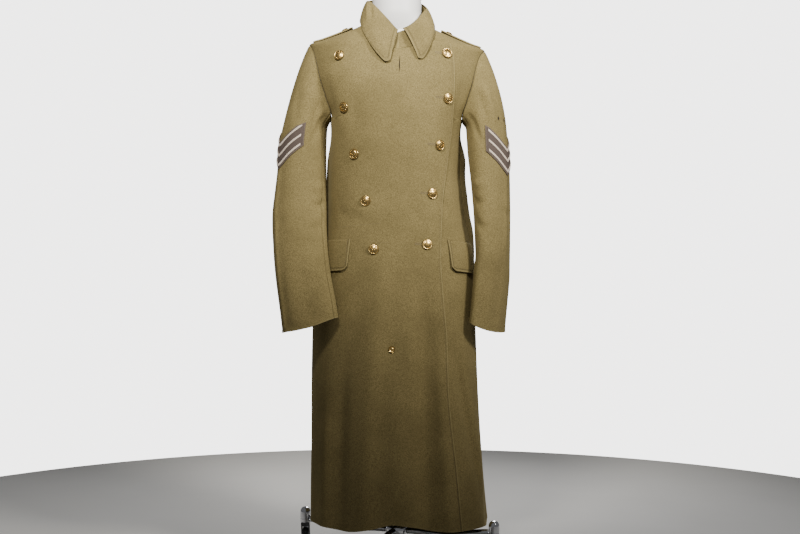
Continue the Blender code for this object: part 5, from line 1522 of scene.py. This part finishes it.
def build_stitches():
    edge_line = line_beside("right_front_cloth", "near", EDGE_STITCH, skip=0.004)
    stitch_row("front_edge_stitches", [edge_line])
    stitch_row("collar_stitches", [
        line_beside("collar_leaf_cloth", side, LEAF_STITCH, skip=LEAF_STITCH) for side in ("near", "bottom", "far")
    ])
    for flap in FLAPS:
        name = f"{flap.name}_cloth"
        stitch_row(f"{flap.name}_stitches", [
            line_beside(name, side, FLAP_STITCH, skip=FLAP_STITCH) for side in ("near", "top", "far")
        ])
    for word in ("left", "right"):
        name = f"shoulder_strap_{word}_cloth"
        lines = [line_beside(name, side, STRAP_STITCH, skip=0.004) for side in ("bottom", "near", "top")]
        stitch_row(f"strap_stitches_{word}", lines)
        felt = f"chevron_patch_{word}_felt"
        lines = [line_beside(felt, side, PATCH_STITCH, skip=PATCH_STITCH) for side in SIDES]
        stitch_row(f"patch_stitches_{word}", lines, Thickness=0.0005, Length=0.0016, Pitch=0.0024)
    chest = cloth_line(((-0.150, 0.851), (-0.090, 0.857), (-0.040, 0.861)), 0.0001)[0]
    pocket = cloth_line(((-0.060, 0.808), (-0.036, 0.814), (-0.022, 0.813), (-0.021, 0.821)), 0.0001)[0]
    stitch_row("inside_pocket_stitches", [chest, pocket], Thickness=0.00055)
    holes, aims = [], []
    for spot in BUTTONS[5:]:
        ends = np.array(BUTTONHOLE_REACH) + spot.across
        turn_round = np.linspace(0.0, math.pi, 12)
        half = BUTTONHOLE_HALF
        loop = [(ends[1] + half * math.sin(t), half * math.cos(t)) for t in turn_round]
        loop += [(ends[0] - half * math.sin(t), -half * math.cos(t)) for t in turn_round]
        loop.append(loop[0])
        places = [(u, spot.rise + v + BUTTONHOLE_SLANT * (u - spot.across)) for u, v in loop]
        line, normal = cloth_line(places, 0.0002, 90)
        holes.append(line)
        aims.append(np.cross(unit(np.gradient(line, axis=0)), normal))
    stitch_row("buttonhole_stitches", holes, aims, Pitch=0.0009, Length=0.0024, Thickness=0.0007)
    dart = cloth_line(((-0.0095, 1.287), (-0.0100, 1.272), (-0.0092, 1.253)), 0.0001)[0]
    stitch_row("dart_stitches", [dart], Pitch=0.0022, Length=0.0018, Thickness=0.0005)


# Turned pieces, buttons and the stand


def plain_mesh(name, points, faces, material, smooth=35.0, body_name="stand"):
    mesh = bpy.data.meshes.new(name)
    mesh.from_pydata([tuple(p) for p in points], [], faces)
    mesh.validate()
    mesh.materials.append(material)
    mesh.shade_smooth()
    mesh.set_sharp_from_angle(angle=math.radians(smooth))
    if signed_volume(mesh) < 0:
        mesh.flip_normals()
    piece = bpy.data.objects.new(name, mesh)
    bpy.context.scene.collection.objects.link(piece)
    if body_name:
        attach(piece, body_name)
    return piece


def turned_points(profile, sides):
    """Points and faces of a solid turned about Z; its ends lie on the axis."""
    profile = np.array(profile)
    angle = np.linspace(0.0, 2 * math.pi, sides, endpoint=False)
    rings = np.stack([
        profile[1:-1, None, 0] * np.cos(angle), profile[1:-1, None, 0] * np.sin(angle),
        np.broadcast_to(profile[1:-1, None, 1], (len(profile) - 2, sides)),
    ], -1).reshape(-1, 3)
    points = np.concatenate([[[0.0, 0.0, profile[0, 1]]], rings, [[0.0, 0.0, profile[-1, 1]]]])
    faces = []
    count, last = len(profile) - 2, len(points) - 1
    for j in range(sides):
        k = (j + 1) % sides
        faces.append((0, 1 + k, 1 + j))
        faces.append((last, 1 + (count - 1) * sides + j, 1 + (count - 1) * sides + k))
        for i in range(count - 1):
            a, b = 1 + i * sides, 1 + (i + 1) * sides
            faces.append((a + j, a + k, b + k, b + j))
    return points, faces


def moved(points, matrix):
    return points @ np.array(matrix.to_3x3()).T + np.array(matrix.translation)


def button_profile(radius, ringed):
    thick, foot, shank = radius * 0.52, radius * 0.16, radius * 0.30
    if ringed:
        return [
            (0.0, thick * 0.98), (radius * 0.16, thick * 0.96), (radius * 0.30, thick * 0.86),
            (radius * 0.40, thick * 0.60), (radius * 0.52, thick * 0.50), (radius * 0.66, thick * 0.60),
            (radius * 0.78, thick * 0.84), (radius * 0.88, thick * 0.88), (radius * 0.97, thick * 0.70),
            (radius, thick * 0.50), (radius * 0.92, foot), (shank, foot), (shank, 0.0), (0.0, 0.0),
        ]
    return [
        (0.0, thick * 1.00), (radius * 0.16, thick * 0.99), (radius * 0.32, thick * 0.95),
        (radius * 0.48, thick * 0.885), (radius * 0.60, thick * 0.82), (radius * 0.645, thick * 0.74),
        (radius * 0.69, thick * 0.73), (radius * 0.80, thick * 0.70), (radius * 0.86, thick * 0.66),
        (radius * 0.895, thick * 0.70), (radius * 0.94, thick * 0.70), (radius * 0.985, thick * 0.60),
        (radius, thick * 0.46), (radius * 0.965, thick * 0.34), (radius * 0.90, foot),
        (shank, foot), (shank, 0.0), (0.0, 0.0),
    ]


def seat(seat_point, facing):
    turn = Vector((0.0, 0.0, 1.0)).rotation_difference(Vector(facing))
    return Matrix.Translation(Vector(seat_point) + Vector((NECK_X, 0.0, 0.0))) @ turn.to_matrix().to_4x4()


def build_button(name, radius, seat_point, facing, ringed=False):
    points, faces = turned_points(button_profile(radius, ringed), 48)
    placed = seat(seat_point, facing)
    button = plain_mesh(f"{name}_brass", moved(points, placed), faces, brass, 40.0, None)
    if not ringed:
        beads = grown(f"{name}_beads", bpy.data.meshes.new(f"{name}_beads"), "beads", Count=44,
                      Ring_Radius=radius * 0.755, Bead=radius * 0.048, Rise=radius * 0.52 * 0.72, Metal=brass)
        boss = grown(f"{name}_boss", bpy.data.meshes.new(f"{name}_boss"), "beads", Count=8,
                     Ring_Radius=radius * 0.33, Bead=radius * 0.075, Rise=radius * 0.50, Metal=brass)
        for part in (beads, boss):
            part.data.transform(placed)
            part.data.shade_smooth()
        joined = [button, beads, boss]
        with bpy.context.temp_override(active_object=button, selected_editable_objects=joined):
            bpy.ops.object.join()
    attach(button, "stand")
    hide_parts(name)


def build_buttons():
    for spot in (*BUTTONS, SKIRT_BUTTON):
        small = spot is SKIRT_BUTTON
        turn = turn_at(spot.across, spot.rise)
        facing = body_normal(turn, spot.rise)
        out = float(top_layer(turn))
        build_button(spot.name, SMALL_BUTTON if small else LARGE_BUTTON,
                     cloth(turn, spot.rise, out + 0.0006), facing, small)
    for side, word in ((-1, "left"), (1, "right")):
        part = (STRAP_BUTTON_X - STRAP_NEAR) / (STRAP_FAR - STRAP_NEAR)
        lift = STRAP_LIFT + STRAP_ARCH * (1.0 - part) ** 2 + STRAP_WALL + 0.0008
        height = float(shoulder_rise(STRAP_BUTTON_X, 0.0)) + SHOULDER_LEAN * side * STRAP_BUTTON_X + lift
        facing = unit(np.array([side * 0.48, 0.0, 1.0]))
        build_button(f"button_strap_{word}", SMALL_BUTTON, (side * STRAP_BUTTON_X, 0.0, height), facing)


def strip(rows, sides, j):
    """Faces from ring to ring between side j and the next one."""
    k = (j + 1) % sides
    return [(low + j, low + k, low + sides + k, low + sides + j) for low in range(0, (rows - 1) * sides, sides)]


FORM_WALL_GAP = 0.0008
NECK_FORWARD = 0.006
# (height, radius) of the neck's rings, up to its rounded cap
FORM_NECK = (
    (1.385, 0.0612), (1.398, 0.0614), (1.412, 0.0618), (1.436, 0.0622),
    (1.452, 0.0622), (1.458, 0.0612), (1.461, 0.0590), (NECK_TOP, 0.0555),
)


def form_inset(turn, rise):
    shoulder = np.abs(np.sin(turn)) ** 60 * ease((rise - 1.24) / 0.06)
    shoulder = shoulder * (1.0 - ease((rise - 1.334) / 0.012))
    pit = np.where(np.cos(turn) > 0, 0.013, 0.004) * np.cos(turn) ** 2 * ease((rise - 1.270) / 0.06)
    return mix(0.0115 + pit, WALL + 4 * GAP, shoulder)


def build_form():
    sides = 120
    turn = np.linspace(0.0, 2 * math.pi, sides, endpoint=False)[None, :]
    rise = np.concatenate([np.linspace(FORM_BOTTOM, 1.24, 40), np.linspace(1.25, 1.3645, 34)])[:, None]
    base = body(turn, rise) - body_normal(turn, rise) * (form_inset(turn, rise) + FORM_WALL_GAP)[..., None]
    base[0, :, 2] = FORM_BOTTOM
    rings = [base]
    for height, radius in FORM_NECK:
        forward = NECK_FORWARD + radius * np.cos(turn)
        rings.append(np.stack([radius * np.sin(turn), -forward, np.full_like(turn, height)], -1))
    grid = np.concatenate(rings)
    rows = grid.shape[0]
    ends = [[0.0, -NECK_FORWARD, NECK_TOP], [0.0, 0.0, FORM_BOTTOM]]
    points = np.concatenate([grid.reshape(-1, 3), ends])
    points[:, 0] += NECK_X
    faces = []
    for j in range(sides):
        k = (j + 1) % sides
        faces += strip(rows, sides, j)
        faces.append(((rows - 1) * sides + j, (rows - 1) * sides + k, len(points) - 2))
        faces.append((k, j, len(points) - 1))
    piece = plain_mesh("form_torso_shell", points, faces, form_shell, 50.0)
    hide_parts("form_torso")


def tube_points(path, radius, sides=24):
    path = np.array(path)
    along = unit(np.gradient(path, axis=0))
    side_way = unit(np.cross(along, np.array([0.0, 0.0, 1.0])))
    up = np.cross(side_way, along)
    angle = np.linspace(0.0, 2 * math.pi, sides, endpoint=False)
    rings = path[:, None] + radius * (
        side_way[:, None] * np.cos(angle)[None, :, None] + up[:, None] * np.sin(angle)[None, :, None]
    )
    points = np.concatenate([rings.reshape(-1, 3), path[:1], path[-1:]])
    count, faces = len(path), []
    for j in range(sides):
        k = (j + 1) % sides
        faces += strip(count, sides, j)
        faces.append((k, j, len(points) - 2))
        faces.append(((count - 1) * sides + j, (count - 1) * sides + k, len(points) - 1))
    return points, faces


def fork_points():
    half, outside = WHEEL_HALF + FORK_CLEAR, WHEEL_HALF + FORK_CLEAR + FORK_CHEEK
    crown_low, foot = 2 * WHEEL_RADIUS + 0.0030, AXLE_RISE - 0.0065
    steps_down = np.linspace(0.0, 1.0, 9)
    right = [(outside, mix(FORK_TOP, foot, t)) for t in steps_down]
    right += [(half, mix(foot, crown_low, t)) for t in steps_down]
    left = [(-x, z) for x, z in reversed(right)]
    profile = right + left
    front, back = [], []
    for x, z in profile:
        part = float(np.clip((FORK_TOP - z) / (FORK_TOP - AXLE_RISE), 0.0, 1.0))
        thick = mix(0.0125, 0.0065, part)
        front.append((x, -CASTER_TRAIL * part - thick, z))
        back.append((x, -CASTER_TRAIL * part + thick, z))
    count = len(profile)
    faces = [(j, (j + 1) % count, count + (j + 1) % count, count + j) for j in range(count)]
    n = len(steps_down)
    for base in (0, count):
        turn_over = base == count
        cheeks = []
        for i in range(n - 1):
            cheeks.append((base + i, base + i + 1, base + 2 * n - 2 - i, base + 2 * n - 1 - i))
            m = count - 1
            cheeks.append((base + m - i, base + 2 * n + i, base + 2 * n + i + 1, base + m - i - 1))
        cheeks.append((base, base + 2 * n - 1, base + 2 * n, base + count - 1))
        faces += [face[::-1] for face in cheeks] if turn_over else cheeks
    return np.array(front + back), faces


def wheel_profile():
    half, face = WHEEL_HALF, WHEEL_HALF - 0.0030
    side = [
        (0.0095, half), (0.0110, face + 0.0006), (0.0122, face), (0.0270, face),
        (0.0285, face + 0.0006), (0.0298, half - 0.0008), (WHEEL_RADIUS - 0.0030, half - 0.0008),
        (WHEEL_RADIUS - 0.0012, half - 0.0016), (WHEEL_RADIUS - 0.0002, half - 0.0036),
        (WHEEL_RADIUS, half - 0.0060),
    ]
    return [(0.0, half), *side, *((r, -z) for r, z in reversed(side)), (0.0, -half)]


AXLE_HEAD = (
    (0.0, 0.0026), (0.0020, 0.0025), (0.0036, 0.0019), (0.0045, 0.0008), (0.0046, 0.0), (0.0, 0.0),
)


def build_stand():
    def make(name, profile, material, place, body_name="stand", sides=64, tilt=None, smooth=35.0):
        points, faces = turned_points(profile, sides)
        matrix = Matrix.Translation(place) @ (tilt or Matrix.Identity(4))
        return plain_mesh(name, moved(points, matrix), faces, material, smooth, body_name)

    middle = Vector((NECK_X, 0.0, 0.0))
    pole_low, pole_high = HUB_HIGH + GAP, FORM_BOTTOM - GAP
    pole = make("pole_tube", [
        (0.0, pole_high), (POLE_RADIUS - 0.0008, pole_high), (POLE_RADIUS, pole_high - 0.0008),
        (POLE_RADIUS, pole_low + 0.0008), (POLE_RADIUS - 0.0008, pole_low), (0.0, pole_low),
    ], chrome, middle)
    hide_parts("pole")
    hub = make("hub_casting", [
        (0.0, HUB_HIGH), (0.0150, HUB_HIGH), (0.0165, HUB_HIGH - 0.0012),
        (HUB_RADIUS - 0.0070, HUB_HIGH - 0.0016), (HUB_RADIUS - 0.0020, HUB_HIGH - 0.0045),
        (HUB_RADIUS, HUB_HIGH - 0.0090), (HUB_RADIUS, HUB_LOW + 0.0050),
        (HUB_RADIUS - 0.0015, HUB_LOW + 0.0015), (HUB_RADIUS - 0.0050, HUB_LOW), (0.0, HUB_LOW),
    ], chrome, middle)
    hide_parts("hub")
    across = Matrix.Rotation(math.pi / 2, 4, "Y")
    for index, degrees in enumerate(LEG_TURNS, start=1):
        turn = math.radians(degrees)
        part = np.linspace(0.0, 1.0, 25)
        reach = mix(HUB_RADIUS + GAP, SOCKET_REACH - SOCKET_RADIUS - 0.0008, part)
        rise = mix(0.0880, 0.0985, part) - 0.008 * np.sin(math.pi * part) ** 2
        path = np.stack([NECK_X + reach * math.cos(turn), reach * math.sin(turn), rise], -1)
        points, faces = tube_points(path, LEG_RADIUS)
        leg = plain_mesh(f"leg_tube_{index}", points, faces, chrome, 40.0)
        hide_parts(f"leg_{index}")
        place = middle + Vector((SOCKET_REACH * math.cos(turn), SOCKET_REACH * math.sin(turn), 0.0))
        r = SOCKET_RADIUS
        socket = make(f"socket_dome_{index}", [
            (0.0, SOCKET_HIGH), (r * 0.30, SOCKET_HIGH - 0.0006), (r * 0.55, SOCKET_HIGH - 0.0019),
            (r * 0.75, SOCKET_HIGH - 0.0040), (r * 0.90, SOCKET_HIGH - 0.0073), (r * 0.98, SOCKET_HIGH - 0.0110),
            (r, SOCKET_HIGH - 0.0135), (r, SOCKET_LOW + 0.0120), (r - 0.0007, SOCKET_LOW + 0.0113),
            (r - 0.0007, SOCKET_LOW + 0.0096), (r, SOCKET_LOW + 0.0089), (r, SOCKET_LOW + 0.0008),
            (r - 0.0008, SOCKET_LOW), (0.0, SOCKET_LOW),
        ], chrome, place)
        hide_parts(f"socket_{index}")
        in_front = math.sin(turn) < 0
        trail = -CASTER_TRAIL if in_front else CASTER_TRAIL
        about = Matrix.Identity(4) if in_front else Matrix.Rotation(math.pi, 4, "Z")
        points, faces = fork_points()
        points = moved(points, Matrix.Translation(place) @ about)
        fork = plain_mesh(f"fork_{index}", points, faces, dark_steel, 30.0, None)
        bevel = fork.modifiers.new("soften", "BEVEL")
        bevel.width, bevel.segments, bevel.limit_method = 0.0006, 2, "ANGLE"
        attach(fork, f"swivel_{index}")
        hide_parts(f"caster_fork_{index}")
        axle = place + Vector((0.0, trail, AXLE_RISE))
        wheel = make(f"wheel_{index}_tyre", wheel_profile(), wheel_rubber, axle, f"wheel_{index}", 72, across)
        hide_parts(f"caster_wheel_{index}")
        outside = WHEEL_HALF + FORK_CLEAR + FORK_CHEEK
        for way in (1, -1):
            make(f"axle_head_{index}_{'ab'[way < 0]}", AXLE_HEAD, chrome,
                 axle + Vector((way * outside, 0.0, 0.0)), f"swivel_{index}", 32,
                 Matrix.Rotation(way * math.pi / 2, 4, "Y"))


# Stage, lights and camera


FLOOR_REACH = 1.9
FLOOR_SIDES = 128
AMBIENT = 0.15
SHOWN_STRENGTH = 4.5


def build_stage():
    floor_finish, tree, shader = new_finish("studio_floor", 0.7)
    where = tree.nodes.new("ShaderNodeTexCoord").outputs["Object"]
    mottled = noise(tree, 3.0, 4.0, where)
    colour = blend_colour(tree, mottled, (0.60, 0.585, 0.55), (0.68, 0.665, 0.63))
    tree.links.new(colour, shader.inputs["Base Color"])
    mesh = bpy.data.meshes.new("studio_floor")
    around = np.linspace(0.0, 2 * math.pi, FLOOR_SIDES + 1)[:-1]
    rim = [(FLOOR_REACH * math.cos(a), FLOOR_REACH * math.sin(a), 0.0) for a in around]
    mesh.from_pydata(rim, [], [tuple(range(FLOOR_SIDES))])
    mesh.materials.append(floor_finish)
    floor = bpy.data.objects.new("studio_floor", mesh)
    bpy.context.scene.collection.objects.link(floor)
    world = bpy.data.worlds.new("studio")
    world.use_nodes = True
    bpy.context.scene.world = world
    tree = world.node_tree
    shown = tree.nodes["Background"]
    shown.inputs[0].default_value = (0.90, 0.89, 0.88, 1.0)
    shown.inputs[1].default_value = SHOWN_STRENGTH
    lit = node(tree, "ShaderNodeBackground", {"Color": (0.92, 0.93, 0.96, 1.0), "Strength": AMBIENT})
    ray = tree.nodes.new("ShaderNodeLightPath")
    both = node(tree, "ShaderNodeMixShader", {
        0: ray.outputs["Is Camera Ray"], 1: lit.outputs[0], 2: shown.outputs[0]
    })
    tree.links.new(both.outputs[0], tree.nodes["World Output"].inputs["Surface"])


Lamp = namedtuple("Lamp", "name place aim size power colour spread")
LAMPS = (
    Lamp("high_left", (-0.40, -2.05, 2.65), (-0.02, 0.0, 1.40), 0.30, 490.0, (1.0, 0.975, 0.92), 36.0),
    Lamp("high_right", (1.60, -1.60, 2.25), (0.10, 0.0, 1.30), 0.30, 330.0, (1.0, 0.975, 0.92), 50.0),
    Lamp("behind", (0.5, 2.4, 2.3), (0.0, 0.0, 1.05), 0.50, 260.0, (0.97, 0.98, 1.0), 110.0),
)


def build_lights():
    for lamp in LAMPS:
        light = bpy.data.lights.new(lamp.name, "SPOT")
        light.shadow_soft_size, light.energy, light.color = lamp.size, lamp.power, lamp.colour
        light.spot_size, light.spot_blend = math.radians(lamp.spread), 1.0
        thing = bpy.data.objects.new(lamp.name, light)
        thing.location = lamp.place
        aim = Vector(lamp.aim) - Vector(lamp.place)
        thing.rotation_euler = aim.to_track_quat("-Z", "Y").to_euler()
        bpy.context.scene.collection.objects.link(thing)


def build_camera():
    lens = bpy.data.cameras.new("camera")
    lens.sensor_width = 36.0
    lens.lens = 53.1
    lens.clip_end = 60.0
    camera = bpy.data.objects.new("camera", lens)
    camera.location = (NECK_X + 0.0076, -3.0, 0.755)
    camera.rotation_euler = (math.pi / 2, 0.0, 0.0)
    bpy.context.scene.collection.objects.link(camera)
    bpy.context.scene.camera = camera


# The whole


def declare_cloth():
    """Each cloth piece stands for its solid; the flat size of its cut is worked out."""
    for name, piece in pieces.items():
        for ending in ("_cloth", "_felt", "_braid"):
            if name.endswith(ending):
                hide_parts(name[: -len(ending)])
        if not name.endswith("_braid"):
            declare_cut(piece, *cuts[name])


build_camera()
build_fronts()
build_backs()
build_sleeves()
build_collar()
build_straps()
build_flaps()
build_chevrons()
declare_cloth()
build_stitches()
build_buttons()
build_form()
build_stand()
build_stage()
build_lights()
